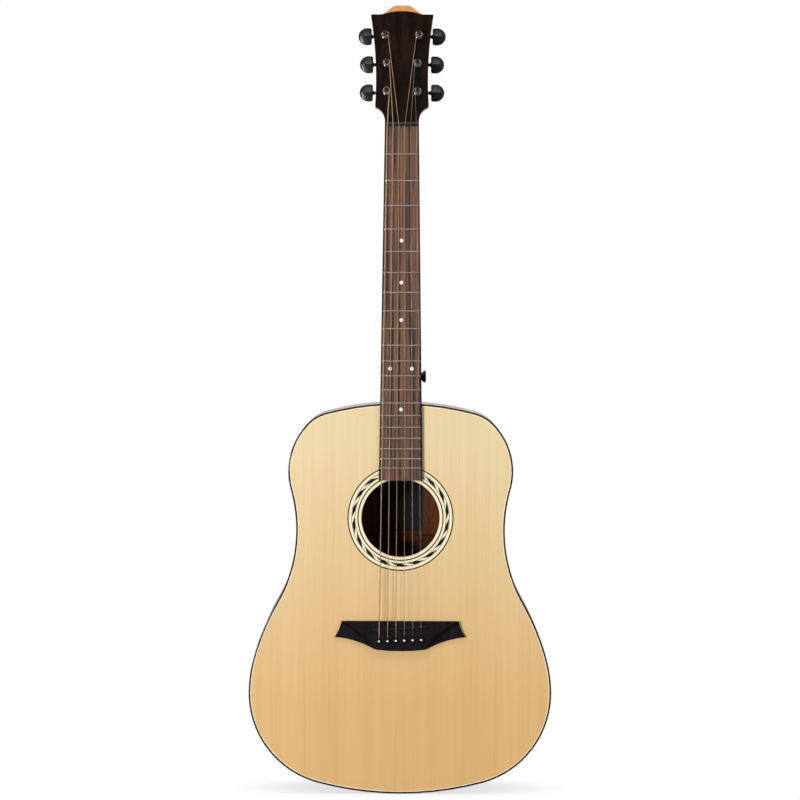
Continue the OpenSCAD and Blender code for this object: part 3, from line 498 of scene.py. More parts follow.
def polish(node, material, bevel=0.0, sharp=35):
    """Gives a CAD node its material, merges its facets, softens its edges and shades it smooth."""
    piece = frame["nodes"][node]
    piece.data.materials.clear()
    piece.data.materials.append(MAT[material])
    piece.data.shade_smooth()
    weld = piece.modifiers.new("weld", "WELD")
    weld.merge_threshold = 1e-6
    if bevel > 0:
        flat = piece.modifiers.new("flat", "DECIMATE")
        flat.decimate_type = "DISSOLVE"
        flat.angle_limit = math.radians(0.3)
        soft = piece.modifiers.new("soft", "BEVEL")
        soft.width = bevel
        soft.segments = 3
        soft.limit_method = "ANGLE"
        soft.angle_limit = math.radians(sharp)
    split = piece.modifiers.new("split", "EDGE_SPLIT")
    split.split_angle = math.radians(sharp)
    split.use_edge_sharp = False


# ---------- CAD nodes kept as they are, with a finish ----------

polish("top_plate", "spruce_top")
polish("rosette_light", "cream_inlay")
polish("rosette_dark", "dark_inlay")
polish("purfling", "cream_inlay")
polish("binding", "binding_brown", bevel=1.1 * MM)
polish("back_plate", "mahogany_back")
polish("side_bass", "mahogany_sides")
polish("side_treble", "mahogany_sides")
polish("linings", "spruce_inside")
# The blocks inside the body take the painted-shade copy of the mahogany
polish("neck_block", "mahogany_inside")
polish("tail_block", "mahogany_inside")
polish("bridge_plate", "maple")
polish("top_braces", "spruce_inside")
# The back braces are painted dark with the shaded mahogany, standing in for shade inside the body
polish("back_braces", "mahogany_inside")
polish("label", "label_paper")
polish("saddle", "black_plastic")
polish("truss_rod", "steel")
polish("truss_rod_nut", "steel")
polish("fingerboard", "fingerboard_wood", sharp=12)
polish("fingerboard_binding", "dark_inlay", sharp=12)
polish("position_dots", "pearl")
polish("nut", "black_plastic", bevel=0.25 * MM)
polish("headstock_veneer", "dark_wood")
polish("headstock_cap", "maple")
polish("heel_cap", "binding_brown", bevel=0.8 * MM)
polish("strap_button_screw", "tuner_black", bevel=0.15 * MM)
polish("tuner_housings", "tuner_black", bevel=1.0 * MM)
polish("tuner_screws", "tuner_black", bevel=0.3 * MM)
polish("string_ball_ends", "bronze")
for number in range(1, 7):
    polish(f"worm_shaft_{number}", "steel")


# ---------- neck ----------

BODY_DEPTH = 0.100
HEAD_T = 16.5 * MM
VENEER_T = 2 * MM
SHAFT_DEPTH_NUT = 15 * MM
SHAFT_DEPTH_HEEL = 17 * MM
HEEL_DEPTH = 0.097
HEEL_REACH = (22 * MM, 92 * MM)
HEEL_HALF = (17 * MM, 26.6 * MM)
HEEL_START = 12 * MM
# How fast the reach and the half width fall off with depth
REACH_FADE = 27 * MM
HALF_FADE = 55 * MM


def fade(depth, length):
    """One at the top of the heel, falling to zero at its end."""
    last = math.exp(-(HEEL_DEPTH - HEEL_START) / length)
    return (math.exp(-(depth - HEEL_START) / length) - last) / (1 - last)


def heel_reach(depth):
    return HEEL_REACH[0] + (HEEL_REACH[1] - HEEL_REACH[0]) * fade(depth, REACH_FADE)


def heel_half(depth):
    return HEEL_HALF[0] + (HEEL_HALF[1] - HEEL_HALF[0]) * fade(depth, HALF_FADE)


def heel_depth(out):
    """How deep the heel is at a distance out from the body."""
    if out <= HEEL_REACH[0]:
        return HEEL_DEPTH
    if out >= HEEL_REACH[1]:
        return 0.0
    last = math.exp(-(HEEL_DEPTH - HEEL_START) / REACH_FADE)
    share = (out - HEEL_REACH[0]) / (HEEL_REACH[1] - HEEL_REACH[0])
    return HEEL_START - REACH_FADE * math.log(share * (1 - last) + last)


def blend_max(a, b, power=7):
    return (max(a, 0.0) ** power + max(b, 0.0) ** power) ** (1 / power)


def neck_section(z, count=28):
    """Half widths and depths of the neck at a height z, from the fingerboard down to the middle of the back."""
    out = z - BODY_TOP
    share = out / (NUT_Z - BODY_TOP)
    shaft_depth = SHAFT_DEPTH_HEEL + (SHAFT_DEPTH_NUT - SHAFT_DEPTH_HEEL) * share
    deepest = blend_max(shaft_depth, heel_depth(out))
    half_list = []
    for k in range(count + 1):
        depth = deepest * math.sin(math.pi / 2 * k / count)
        shaft = board_half(z) * math.sqrt(max(0.0, 1 - (depth / shaft_depth) ** 2))
        reach = heel_reach(max(depth, HEEL_START))
        heel = heel_half(max(depth, HEEL_START)) * math.sqrt(max(0.0, 1 - (out / reach) ** 2))
        half_list.append((min(blend_max(shaft, heel), board_half(z)), depth))
    return half_list


def section_ring(pairs, origin, down):
    """A closed ring from half widths and depths, with its flat side through origin."""
    right = [origin + Vector((half, 0, 0)) + down * depth for half, depth in pairs]
    left = [origin + Vector((-half, 0, 0)) + down * depth for half, depth in reversed(pairs)]
    return right + left


def neck_rings():
    rings = []
    outs = [0, 8, 16, 20, 22, 23, 24.5, 26.5, 29, 32, 36, 41, 47, 54, 62, 71, 81, 92, 104]
    stations = [BODY_TOP + 0.05 * MM + out * MM for out in outs]
    last = NUT_Z - 12 * MM
    stations += [stations[-1] + (last - stations[-1]) * k / 8 for k in range(1, 9)]
    for z in stations:
        rings.append(section_ring(neck_section(z), Vector((0, FRONT_Y, z)), Vector((0, 1, 0))))
    # The volute: the section turns with the headstock, flattens and dips inside its back
    for k in range(1, 11):
        share = k / 10
        along = -12 * MM + 36 * MM * share
        ease = share * share * (3 - 2 * share)
        down = (Vector((0, 1, 0)) * (1 - ease) - HEAD_N * ease).normalized()
        origin = Vector((0, FRONT_Y, NUT_Z)).lerp(on_head(0, 0, -VENEER_T), ease)
        way = Vector((0, 0, 1)).lerp(HEAD_D, ease).normalized()
        half = BOARD_HALF_NUT + 1.2 * MM * max(0.0, share - 0.4)
        depth = SHAFT_DEPTH_NUT + (HEAD_T - VENEER_T - 0.4 * MM - SHAFT_DEPTH_NUT) * ease
        depth += 2.2 * MM * math.sin(math.pi * share) ** 2
        power = 2 + 5 * ease
        pairs = []
        for j in range(29):
            angle = math.pi / 2 * j / 28
            pairs.append((half * math.cos(angle) ** (2 / power), depth * math.sin(angle) ** (2 / power)))
        rings.append(section_ring(pairs, origin + way * along, down))
    return rings


# Half the headstock's outline, from the nut up to its crowned tip
HEAD_WAIST = 33.9 * MM
HEAD_WAIST_AT = 56.2 * MM
HEAD_SIDE_RADIUS = 0.572
HEAD_TOP = 146.1 * MM
EAR_AT = 23.8 * MM
CROWN_FLAT = 7 * MM
CROWN_HALF = 29 * MM
CROWN_H = 12.2 * MM
# The underside of the ears rises this much per unit of depth
EAR_SLOPE = 0.16


def head_half(along):
    return HEAD_WAIST + (along - HEAD_WAIST_AT) ** 2 / (2 * HEAD_SIDE_RADIUS)


def bow(p, q, sag, steps):
    """Points on a shallow curve from p to q that bulges to the left of its way by sag."""
    way = (q[0] - p[0], q[1] - p[1])
    length = math.hypot(*way)
    points = []
    for k in range(steps):
        t = k / steps
        lift = 4 * sag * t * (1 - t) / length
        points.append((p[0] + way[0] * t - way[1] * lift, p[1] + way[1] * t + way[0] * lift))
    return points


def head_outline():
    """Half the outline is just inside the veneer's, so that the veneer's edge hides the joint."""
    ear = (HEAD_WAIST, EAR_AT - 3.7 * MM)
    points = [(BOARD_HALF_NUT, 0.1 * MM)] + bow((BOARD_HALF_NUT, 1.8 * MM), ear, 3.2 * MM, 10)
    points += bow(ear, (head_half(EAR_AT), EAR_AT), -0.5 * MM, 3)
    for k in range(25):
        along = EAR_AT + (HEAD_TOP - EAR_AT) * k / 24
        points.append((head_half(along), along))
    for k in range(1, 30):
        x = (head_half(HEAD_TOP) - 0.6 * MM) * (1 - k / 30)
        share = min(max((x - CROWN_FLAT) / (CROWN_HALF - CROWN_FLAT), 0), 1)
        points.append((x, HEAD_TOP + CROWN_H * (1 + math.cos(math.pi * share)) / 2))
    return points + [(-x, along) for x, along in reversed(points)]


def head_plate():
    """The wood of the headstock behind its veneer, with a rounded back edge."""
    outline = head_outline()
    middle = 77 * MM
    rings = []
    back = -HEAD_T
    for inset, out in [(0, -VENEER_T), (0, back + 1.4 * MM), (0.4 * MM, back + 0.4 * MM), (1.4 * MM, back)]:
        shrink = 1 - inset / (40 * MM)
        ring = []
        for x, along in outline:
            undercut = EAR_SLOPE * -(out + VENEER_T) * min(max((EAR_AT - along) / (4 * MM), 0), 1)
            ring.append(on_head(x * shrink, middle + (along + undercut - middle) * shrink, out))
        rings.append(ring)
    return loft(rings)


def drill(piece, origin, axis, radius, length):
    cut_away(piece, *lathe(origin, axis, [(radius, 0), (radius, length)], 40))


def join(piece, vertices, faces):
    """Makes one solid of a piece and a closed shape."""
    cut_away(piece, vertices, faces, "UNION")


neck = add("neck_wood", *loft(neck_rings()), "mahogany", replaces=["neck"])
join(neck, *head_plate())
for number in range(1, 7):
    post = Vector(JOINTS[f"post_turn_{number}"]["pos_m"])
    drill(neck, post - HEAD_N * 24 * MM, HEAD_N, 4.55 * MM, 30 * MM)

# ---------- strap button ----------

button_low, button_high = low("strap_button"), high("strap_button")
button_axis = Vector((1, 0, 0))
button_base = Vector((button_low.x, (button_low.y + button_high.y) / 2, (button_low.z + button_high.z) / 2))
drill(neck, button_base - button_axis * 0.5 * MM, button_axis, 5.6 * MM, 14 * MM)
drill(neck, button_base - button_axis * 16.5 * MM, button_axis, 2.05 * MM, 20 * MM)
profile = [
    (2.1, -0.4), (5.0, -0.4), (5.1, 0.3), (4.4, 2), (4.0, 4.5), (4.2, 7.5), (5.2, 9.8), (6.8, 11.4), (7.7, 12.4),
    (8.0, 13.2), (7.8, 14.2), (7.1, 15), (5.8, 15.5), (4.4, 15.3), (4.0, 14.6), (4.0, 13.1), (2.1, 13.1),
]
profile = [(radius * MM, height * MM) for radius, height in profile]
add(
    "strap_button_turned", *lathe(button_base, button_axis, profile + [profile[0]], 64), "tuner_black",
    replaces=["strap_button"],
)

# ---------- frets ----------


def crown_y(x, raised=0.0):
    """Depth of the crowned face of the board at x, raised by some height."""
    radius = BOARD_RADIUS + raised
    return FRONT_Y - BOARD_T + BOARD_RADIUS - math.sqrt(radius ** 2 - x ** 2)


def fret(n):
    z = NUT_Z - 0.65 * (1 - 2 ** (-n / 12))
    half = board_half(z) - 1.1 * MM
    width, height = 2.1 * MM, 1.1 * MM
    rings = []
    stations = [-1, -0.985, -0.96] + [-0.9 + 1.8 * k / 12 for k in range(13)] + [0.96, 0.985, 1]
    for station in stations:
        x = half * station
        bevelled = min(1.0, (half - abs(x)) / (1.1 * MM))
        tall = height * (0.25 + 0.75 * math.sqrt(bevelled))
        ring = [Vector((x, crown_y(x, 0.02 * MM), z - width / 2))]
        for k in range(9):
            angle = math.pi * k / 8
            ring.append(Vector((
                x, crown_y(x, 0.05 * MM + (tall - 0.05 * MM) * math.sin(angle) ** 0.8),
                z - width / 2 * math.cos(angle),
            )))
        ring.append(Vector((x, crown_y(x, 0.02 * MM), z + width / 2)))
        rings.append(ring)
    return loft(rings)


add("frets_crowned", *merge(*[fret(n) for n in range(1, 21)]), "fret_metal", sharp=50, replaces=["frets"])

# ---------- bridge ----------

BRIDGE_TOP = high("bridge").z
BRIDGE_H = 8 * MM
WING_H = 4.5 * MM
CORNER = 77 * MM
TIP = 85.5 * MM
TIP_DROP = 21 * MM
BELLY_CORNER = 34.3 * MM
BELLY_DROP = 39 * MM


def lower_edge(x):
    """How far the bridge's lower edge lies below its top edge."""
    x = abs(x)
    if x < BELLY_CORNER:
        return BELLY_DROP - 2.5 * MM * (x / BELLY_CORNER) ** 2.4
    share = (x - BELLY_CORNER) / (TIP - BELLY_CORNER)
    sag = 4 * 3.0 * MM * share * (1 - share)
    return 36.5 * MM + (TIP_DROP - 36.5 * MM) * share - sag


def upper_edge(x):
    share = max(0.0, (abs(x) - CORNER) / (TIP - CORNER))
    return TIP_DROP * share ** 0.6


def bridge_height(x, drop):
    """Full height in the middle, with a scooped wing on each side of a curved line."""
    x = abs(x)
    share = min(max((drop - 2 * MM) / (36 * MM), -0.1), 1.1)
    line = 73 * MM - 41 * MM * share - 4 * 5.5 * MM * share * (1 - share)
    past_line = (x - line) * 0.7
    if past_line <= 0:
        return BRIDGE_H
    scoop = max(0.0, 1 - past_line / (5 * MM))
    return WING_H + (BRIDGE_H - WING_H) * 0.72 * scoop ** 2


def bridge_mesh():
    rounding = 1.1 * MM
    xs = [TIP * (-1 + 2 * k / 150) for k in range(151)]
    near = [0, 0.08, 0.28, 0.62, 1.1]
    top, bottom = [], []
    for x in xs:
        upper, lower = upper_edge(x), lower_edge(x)
        span = max(lower - upper, 0.3 * MM)
        scale = min(1.0, span / (6 * MM))
        drops = [upper + d * MM * scale for d in near]
        inner = [upper + span * k / 26 for k in range(1, 26)]
        drops += [d for d in inner if drops[-1] < d < upper + span - 1.1 * MM * scale] if span > 6 * MM else []
        drops += [upper + span - d * MM * scale for d in reversed(near)]
        row = []
        for k in range(36):
            place = k / 35 * (len(drops) - 1)
            index = min(int(place), len(drops) - 2)
            drop = drops[index] + (drops[index + 1] - drops[index]) * (place - index)
            row.append(drop)
        row[:5] = drops[:5]
        row[-5:] = drops[-5:]
        column = []
        for drop in row:
            edge = min(drop - upper, upper + span - drop, (TIP - abs(x)) * 1.2)
            dip = max(0.0, rounding - max(edge, 0.0))
            height = bridge_height(x, drop) - (rounding - math.sqrt(rounding ** 2 - dip ** 2))
            column.append(Vector((x, FRONT_Y - height, BRIDGE_TOP - drop)))
        top.append(column)
        bottom.append([Vector((p.x, FRONT_Y, p.z)) for p in column])
    count = len(top[0])
    vertices = [p for column in top for p in column] + [p for column in bottom for p in column]
    shift = len(top) * count
    faces = []
    for i in range(len(top) - 1):
        for k in range(count - 1):
            a = i * count + k
            faces.append((a, a + 1, a + count + 1, a + count))
            faces.append((shift + a, shift + a + count, shift + a + count + 1, shift + a + 1))
        for k in (0, count - 1):
            a = i * count + k
            faces.append((a, a + count, shift + a + count, shift + a))
    for i in (0, len(top) - 1):
        for k in range(count - 1):
            a = i * count + k
            faces.append((a, a + 1, shift + a + 1, shift + a))
    return vertices, faces


bridge = add("bridge_carved", *bridge_mesh(), "bridge_wood", sharp=32, replaces=["bridge"])


def block(centre, across, along, half_x, half_along, y_low, y_high):
    """A box standing on the soundboard, turned in its plane."""
    vertices = []
    for y in (y_low, y_high):
        for sx, sy in ((-1, -1), (1, -1), (1, 1), (-1, 1)):
            point = centre + across * half_x * sx + along * half_along * sy
            vertices.append(Vector((point.x, y, point.z)))
    return vertices, [(0, 1, 2, 3), (7, 6, 5, 4), (0, 4, 5, 1), (1, 5, 6, 2), (2, 6, 7, 3), (3, 7, 4, 0)]


saddle_middle = (low("saddle") + high("saddle")) / 2
SLANT = math.radians(3.7)
saddle_across = Vector((math.cos(SLANT), 0, math.sin(SLANT)))
saddle_along = Vector((-math.sin(SLANT), 0, math.cos(SLANT)))
cut_away(bridge, *block(
    saddle_middle, saddle_across, saddle_along, 36.55 * MM, 1.55 * MM, FRONT_Y - 9 * MM, FRONT_Y - 3 * MM,
))

# ---------- strings and bridge pins ----------

STRING_D = [1.35 * MM, 1.07 * MM, 0.81 * MM, 0.61 * MM, 0.41 * MM, 0.31 * MM]
NUT_SPREAD = 38 * MM
RUN = 0.05 * MM
POST_R = 3 * MM
STRING_LEVEL = 3.6 * MM


def pin_place(i):
    node = f"bridge_pin_{i + 1}"
    middle = (low(node) + high(node)) / 2
    return Vector((middle.x, FRONT_Y - BRIDGE_H, middle.z))


def string_points(i):
    """Where string i leaves its hole, crosses the saddle and the nut, and reaches its post."""
    radius = STRING_D[i] / 2
    pin = pin_place(i)
    inside = Vector((pin.x, FRONT_Y + 5 * MM, pin.z + 2.65 * MM - radius))
    exit_point = Vector((pin.x, FRONT_Y - 6 * MM, inside.z))
    nut_x = (i - 2.5) * NUT_SPREAD / 5
    saddle_z = saddle_middle.z + pin.x * math.tan(SLANT) - (1.5 * MM + radius) * 0.22
    saddle_x = nut_x + (pin.x - nut_x) * (NUT_Z - saddle_z) / (NUT_Z - pin.z)
    over_saddle = Vector((saddle_x, low("saddle").y - radius - RUN, saddle_z))
    over_nut = Vector((nut_x, FRONT_Y - BOARD_T - 1.6 * MM - radius - RUN, NUT_Z + 0.8 * MM))
    post = Vector(JOINTS[f"post_turn_{i + 1}"]["pos_m"])
    local = over_nut - HEAD_O
    start = (local.x, local.dot(HEAD_D))
    goal = (post.x, (post - HEAD_O).dot(HEAD_D))
    side = math.copysign(1, post.x)
    way = (goal[0] - start[0], goal[1] - start[1])
    length = math.hypot(*way)
    reach = POST_R + radius + RUN
    turn = math.atan2(way[1], way[0]) + side * math.asin(reach / length)
    run = math.sqrt(length ** 2 - reach ** 2)
    touch = (start[0] + run * math.cos(turn), start[1] + run * math.sin(turn))
    return inside, exit_point, over_saddle, over_nut, on_head(touch[0], touch[1], STRING_LEVEL)


def string_path(i):
    inside, exit_point, over_saddle, over_nut, touch = string_points(i)
    path = rounded([inside, exit_point, over_saddle], 2.0 * MM)
    path = path[:-1] + rounded([path[-2], over_saddle, over_nut], 1.2 * MM)[1:]
    return path[:-1] + rounded([path[-2], over_nut, touch], 1.5 * MM)[1:]


add(
    "wound_string_wires", *merge(*[tube(string_path(i), STRING_D[i] / 2, 14) for i in range(4)]), "bronze",
    sharp=60, replaces=["wound_strings"],
)
add(
    "plain_string_wires", *merge(*[tube(string_path(i), STRING_D[i] / 2, 14) for i in (4, 5)]), "steel",
    sharp=60, replaces=["plain_strings"],
)

for i in range(6):
    pin = pin_place(i)
    inside, exit_point, over_saddle, _, _ = string_points(i)
    out = Vector((0, -1, 0))
    drill(bridge, pin - out * 9 * MM, out, 2.75 * MM, 20 * MM)
    way = over_saddle - exit_point
    flat = Vector((way.x, 0, way.z)).normalized()
    ramp_middle = exit_point + flat * 4.2 * MM
    cut_away(bridge, *block(
        ramp_middle, Vector((flat.z, 0, -flat.x)), flat, STRING_D[i] / 2 + 0.25 * MM, 4.6 * MM,
        FRONT_Y - 8.5 * MM, FRONT_Y - 5.0 * MM - STRING_D[i] * 0.1,
    ))
    head = [
        (0.0001, 0.05), (3.4, 0.05), (3.75, 0.3), (3.9, 0.8), (3.8, 1.4), (3.4, 2.0), (2.7, 2.55), (1.9, 2.85),
        (1.35, 2.9), (1.3, 2.75), (0.0001, 2.75),
    ]
    shaft = [(0.0001, -24), (1.8, -24), (2.1, -23.6), (2.62, 0.1), (0.0001, 0.1)]
    number = i + 1
    shaft_piece = add(
        f"bridge_pin_shaft_{number}", *lathe(pin, out, [(r * MM, h * MM) for r, h in shaft], 32),
        "black_plastic", f"pin_{number}",
    )
    groove = STRING_D[i] + 0.5 * MM
    cut_away(shaft_piece, *block(
        pin + Vector((0, 0, 2.65 * MM - groove + 4 * MM)), Vector((1, 0, 0)), Vector((0, 0, 1)),
        groove / 2, 4 * MM, FRONT_Y - BRIDGE_H - 1 * MM, FRONT_Y - BRIDGE_H + 25 * MM,
    ))
    add(
        f"bridge_pin_head_{number}", *lathe(pin, out, [(r * MM, h * MM) for r, h in head], 40),
        "black_plastic", f"pin_{number}", replaces=[f"bridge_pin_{number}"],
    )
    dot = [(0.0001, 2.76), (1.22, 2.76), (1.25, 2.9), (0.95, 3.05), (0.5, 3.13), (0.0001, 3.15)]
    add(
        f"bridge_pin_dot_{number}", *lathe(pin, out, [(r * MM, h * MM) for r, h in dot], 32),
        "pearl", f"pin_{number}",
    )

# ---------- tuners ----------

POST_TOP = 12 * MM
WHEEL_R = 3.5 * MM
BUTTON_GAP = 17.9 * MM
BUTTON_W = 17.5 * MM
BUTTON_R = 11.8 * MM
worm_from_post = Vector(JOINTS["tuner_turn_1"]["pos_m"]) - Vector(JOINTS["post_turn_1"]["pos_m"])
WORM_OUT = worm_from_post.dot(HEAD_N)
WORM_ALONG = worm_from_post.dot(HEAD_D)


def bushing_washer(centre):
    """A washer and the sleeve below it."""
    washer = [(3.15, 0.0), (5.9, 0.0), (6.15, 0.2), (6.2, 0.5), (6.0, 0.75), (5.6, 0.8), (3.15, 0.8), (3.15, 0.0)]
    sleeve = [(3.15, -12), (4.5, -12), (4.5, 0.1), (3.15, 0.1), (3.15, -12)]
    return merge(
        lathe(centre, HEAD_N, [(r * MM, h * MM) for r, h in washer], 60),
        lathe(centre, HEAD_N, [(r * MM, h * MM) for r, h in sleeve], 40),
    )


def bushing_nut(centre):
    """A hexagonal nut with chamfered corners."""
    u, v = basis(HEAD_N)
    levels = [(0.8, 9.0), (2.0, 9.0), (2.35, 5.2), (2.6, 4.6), (2.6, 3.1), (0.8, 3.1), (0.8, 9.0)]
    rings = []
    for height, limit in levels:
        ring = []
        for k in range(72):
            angle = 2 * math.pi * k / 72
            facet = (angle % (math.pi / 3)) - math.pi / 6
            radius = min(4.85 / math.cos(facet), limit) if limit > 3.2 else limit
            ring.append(centre + (u * math.cos(angle) + v * math.sin(angle)) * radius * MM + HEAD_N * height * MM)
        rings.append(ring)
    return loft(rings, caps=False)


def worm_wheel(centre, teeth=18):
    """A wheel whose teeth are hollowed to fit round the worm."""
    u, v = basis(HEAD_N)
    rings = []
    for k in range(7):
        level = (k / 6 - 0.5) * 2.6 * MM
        hollow = 0.25 * MM * (1 - (2 * k / 6 - 1) ** 2)
        ring = []
        for step in range(teeth * 8):
            angle = 2 * math.pi * step / (teeth * 8)
            tooth = 0.5 + 0.5 * math.cos(teeth * angle)
            radius = WHEEL_R - 0.55 * MM + 0.5 * MM * min(1.0, 1.5 * tooth) - hollow
            ring.append(centre + (u * math.cos(angle) + v * math.sin(angle)) * radius + HEAD_N * level)
        rings.append(ring)
    return loft(rings)


def coil(i, centre, touch):
    """The turns of string i on its post, from where it touches to the hole through the post."""
    radius = STRING_D[i] / 2
    side = math.copysign(1, centre.x)
    arm = touch - centre
    arm = arm - HEAD_N * arm.dot(HEAD_N)
    across = HEAD_N.cross(arm.normalized())
    turns = 3 if i < 4 else 5
    reach = POST_R + radius + RUN
    path = []
    steps = turns * 36
    for k in range(steps + 1):
        angle = side * -2 * math.pi * k / 36
        level = STRING_LEVEL + turns * (STRING_D[i] + 0.06 * MM) * k / steps
        path.append(centre + (arm.normalized() * math.cos(angle) + across * math.sin(angle)) * reach + HEAD_N * level)
    hole = centre + HEAD_N * (POST_TOP - 3.4 * MM)
    for k in range(1, 13):
        angle = side * -2 * math.pi * (steps + k) / 36
        start = STRING_LEVEL + turns * (STRING_D[i] + 0.06 * MM)
        level = start + (POST_TOP - 3.4 * MM - start) * (k / 12) ** 1.5
        path.append(centre + (arm.normalized() * math.cos(angle) + across * math.sin(angle)) * reach + HEAD_N * level)
    return tube(path, radius, 12)


def ridged_section(half, thick, rounding=1.1 * MM, steps=6):
    """A flat diamond with rounded corners, as (height, thickness) pairs."""
    a = max(half - rounding, 0.05 * MM)
    b = max(thick - rounding, 0.05 * MM)
    lean = math.atan2(a, b)
    corners = [((a, 0), -lean, lean), ((0, b), lean, math.pi - lean)]
    corners += [((-a, 0), math.pi - lean, math.pi + lean), ((0, -b), math.pi + lean, 2 * math.pi - lean)]
    points = []
    for (x, y), first, last in corners:
        for k in range(steps + 1):
            angle = first + (last - first) * k / steps
            points.append((x + rounding * math.cos(angle), y + rounding * math.sin(angle)))
    return points


def tuner_button(number):
    """A half moon with a ridge along its shaft, on a beaded tapering collar."""
    post = Vector(JOINTS[f"post_turn_{number}"]["pos_m"])
    side = math.copysign(1, post.x)
    local = post - HEAD_O
    along = local.dot(HEAD_D) + WORM_ALONG

    def place(out_x, height, thick):
        return on_head(post.x + side * (BUTTON_GAP + out_x), along + height, WORM_OUT + thick)

    middle = BUTTON_W - BUTTON_R - 0.05 * MM
    rings = []
    stations = [0, 0.01, 0.03, 0.065, 0.12, 0.19, 0.27, 0.35, 0.45, 0.55, 0.64, 0.73, 0.8, 0.86, 0.91, 0.945, 0.97, 0.99]
    for station in stations:
        x = station * BUTTON_W
        if x <= middle:
            inset = max(0.0, 1 - x / (2.2 * MM))
            half = BUTTON_R - 1.5 * MM * inset ** 2 - 0.45 * MM * (1 - x / middle)
        else:
            half = math.sqrt(max(BUTTON_R ** 2 - (x - middle) ** 2, 1e-8))
        thick = 3.5 * MM * (1 - station ** 9) ** 0.5
        thick *= 1 - 0.28 * max(0.0, 1 - x / (1.1 * MM)) ** 2
        rounding = min(1.1 * MM, half * 0.6, thick * 0.6)
        rings.append([place(x, height, t) for height, t in ridged_section(half, thick, rounding)])
    body = loft(rings)
    axis = Vector((side, 0, 0))
    collar = [
        (1.56, -3.4), (2.0, -3.4), (2.35, -3.1), (2.35, -2.7), (2.05, -2.3), (2.3, -1.4), (2.9, -0.5), (3.3, 0.1),
        (3.3, 0.6), (1.56, 0.6), (1.56, -3.4),
    ]
    ring = lathe(place(0, 0, 0), axis, [(r * MM, h * MM) for r, h in collar], 40)
    return merge(body, ring)


washers, nuts = [], []
worm = WORM_OUT / MM
for i in range(6):
    number = i + 1
    post = Vector(JOINTS[f"post_turn_{number}"]["pos_m"])
    washers.append(bushing_washer(post))
    nuts.append(bushing_nut(post))
    post_profile = [
        (0.0001, worm - 4), (2.7, worm - 4), (3, worm - 3.7), (3, worm - 1.35), (2.4, worm - 1.3),
        (2.4, worm + 1.3), (3, worm + 1.35), (3, 4.5),
        (2.85, 5.2), (2.85, 9.6), (3, 10.2), (3, 11.3), (2.85, 11.75), (2.5, 12), (2.0, 12), (1.75, 11.85),
        (1.6, 11.4), (1.5, 10.6), (0.0001, 10.5),
    ]
    body = f"post_{number}"
    piece = add(
        f"post_turned_{number}", *lathe(post, HEAD_N, [(r * MM, h * MM) for r, h in post_profile], 48),
        "tuner_black", body, replaces=[f"string_post_{number}"],
    )
    touch = string_points(i)[4]
    add(f"worm_wheel_{number}", *worm_wheel(post + HEAD_N * WORM_OUT), "bronze", body)
    add(
        f"string_turns_{number}", *coil(i, post, touch), "bronze" if i < 4 else "steel", body, sharp=60,
    )
    add(
        f"tuner_button_moon_{number}", *tuner_button(number), "tuner_black", f"tuner_key_{number}",
        sharp=50, replaces=[f"tuner_button_{number}"],
    )
add("bushing_washers", *merge(*washers), "tuner_black", sharp=30, replaces=["tuner_bushings"])
add("bushing_nuts", *merge(*nuts), "dark_chrome", sharp=30, replaces=["tuner_bushings"])

# ---------- studio ----------


def area_light(name, place, aim, size, power, colour=(1, 1, 1)):
    lamp = bpy.data.lights.new(name, "AREA")
    lamp.shape = "RECTANGLE"
    lamp.size, lamp.size_y = size
    lamp.energy = power
    lamp.color = colour
    light = bpy.data.objects.new(name, lamp)
    light.location = place
    light.rotation_euler = (Vector(aim) - Vector(place)).to_track_quat("-Z", "Y").to_euler()
    bpy.context.scene.collection.objects.link(light)


floor_mesh = bpy.data.meshes.new("floor")
floor_mesh.from_pydata([(-6, -8, 0), (6, -8, 0), (6, 8, 0), (-6, 8, 0)], [], [(0, 1, 2, 3)])
floor = bpy.data.objects.new("floor", floor_mesh)
floor.location.z = low("binding").z - 0.4 * MM
bpy.context.scene.collection.objects.link(floor)
floor_shader = Shader("floor")
floor_shader.set(Base_Color=(0.3, 0.3, 0.3, 1), Roughness=0.9)
# Painted contact shadow: for camera rays the floor glows white, greyer where ambient occlusion finds the guitar near
shade = floor_shader.node("ShaderNodeAmbientOcclusion", {"Distance": 0.12})
glow = floor_shader.node(
    "ShaderNodeEmission",
    {"Color": floor_shader.ramp(shade.outputs["AO"], (0.0, (0.72, 0.72, 0.72, 1)), (0.75, (1, 1, 1, 1)))},
)
seen = floor_shader.node("ShaderNodeLightPath", {}).outputs["Is Camera Ray"]
blend = floor_shader.node(
    "ShaderNodeMixShader", {0: seen, 1: floor_shader.surface.outputs[0], 2: glow.outputs[0]}
)
output = floor_shader.tree.nodes["Material Output"]
floor_shader.tree.links.new(blend.outputs[0], output.inputs["Surface"])
floor.data.materials.append(floor_shader.material)

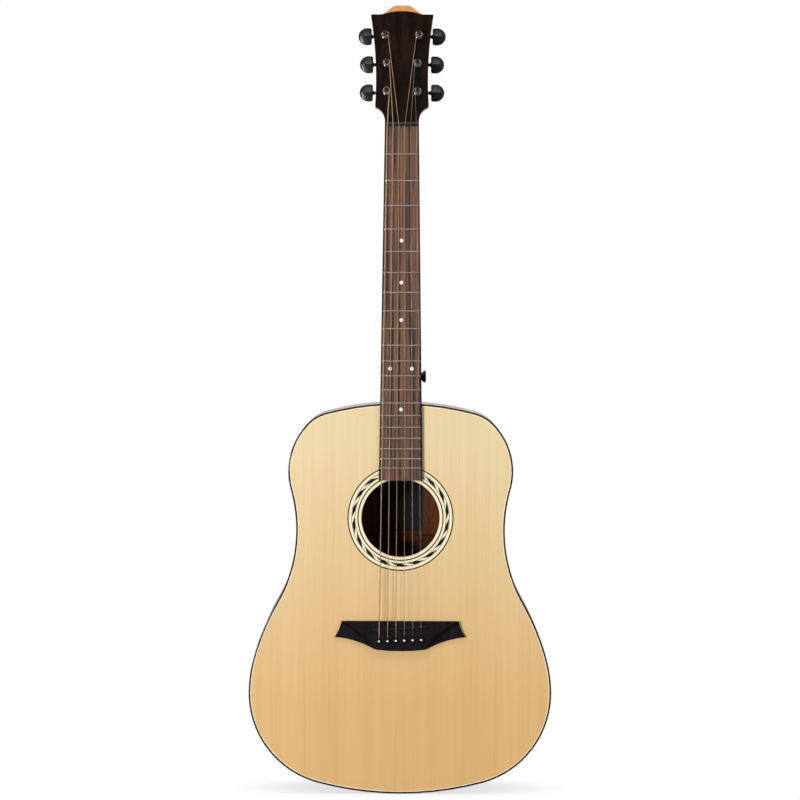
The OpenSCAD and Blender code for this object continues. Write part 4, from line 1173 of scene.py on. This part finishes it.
world = bpy.data.worlds.new("studio")
world.use_nodes = True
backdrop = world.node_tree.nodes["Background"]
backdrop.inputs["Color"].default_value = (1, 1, 1, 1)
# White where the camera looks and behind the guitar, and dim on the camera's side
sight = world.node_tree.nodes.new("ShaderNodeLightPath")
direction = world.node_tree.nodes.new("ShaderNodeTexCoord")
parts = world.node_tree.nodes.new("ShaderNodeSeparateXYZ")
room = world.node_tree.nodes.new("ShaderNodeMapRange")
room.inputs["From Min"].default_value = -0.05
room.inputs["From Max"].default_value = 0.05
room.inputs["To Min"].default_value = 0.19
room.inputs["To Max"].default_value = 0.9
strength = world.node_tree.nodes.new("ShaderNodeMath")
strength.operation = "MAXIMUM"
world.node_tree.links.new(direction.outputs["Generated"], parts.inputs[0])
world.node_tree.links.new(parts.outputs["Y"], room.inputs["Value"])
world.node_tree.links.new(sight.outputs["Is Camera Ray"], strength.inputs[0])
world.node_tree.links.new(room.outputs[0], strength.inputs[1])
world.node_tree.links.new(strength.outputs[0], backdrop.inputs["Strength"])
bpy.context.scene.world = world
bpy.context.scene.view_settings.view_transform = "Standard"

area_light("key", (-2.5, -4.2, 0.45), (0, 0, 0.45), (1.4, 0.7), 168, (1, 0.985, 0.96))
area_light("fill", (2.5, -2.5, 0.7), (0, 0, 0.5), (1.2, 1.6), 10, (0.97, 0.98, 1))
area_light("top", (0, -1.6, 2.9), (0, 0, 0.6), (2.0, 0.8), 24)

CAMERA_DISTANCE = 4.5
camera_data = bpy.data.cameras.new("camera")
camera_data.sensor_width = 36
camera_data.lens = 413.8 * CAMERA_DISTANCE / 12
camera = bpy.data.objects.new("camera", camera_data)
bpy.context.scene.collection.objects.link(camera)
ELEVATION = math.radians(1.75)
target = Vector((-0.0012, FRONT_Y, BODY_TOP + 4.4 * MM))
camera.location = target + Vector((0, -math.cos(ELEVATION), math.sin(ELEVATION))) * CAMERA_DISTANCE
turn = (target - camera.location).to_track_quat("-Z", "Y").to_matrix()
camera.rotation_euler = (turn @ Matrix.Rotation(math.radians(0.2), 3, "Z")).to_euler()
bpy.context.scene.camera = camera
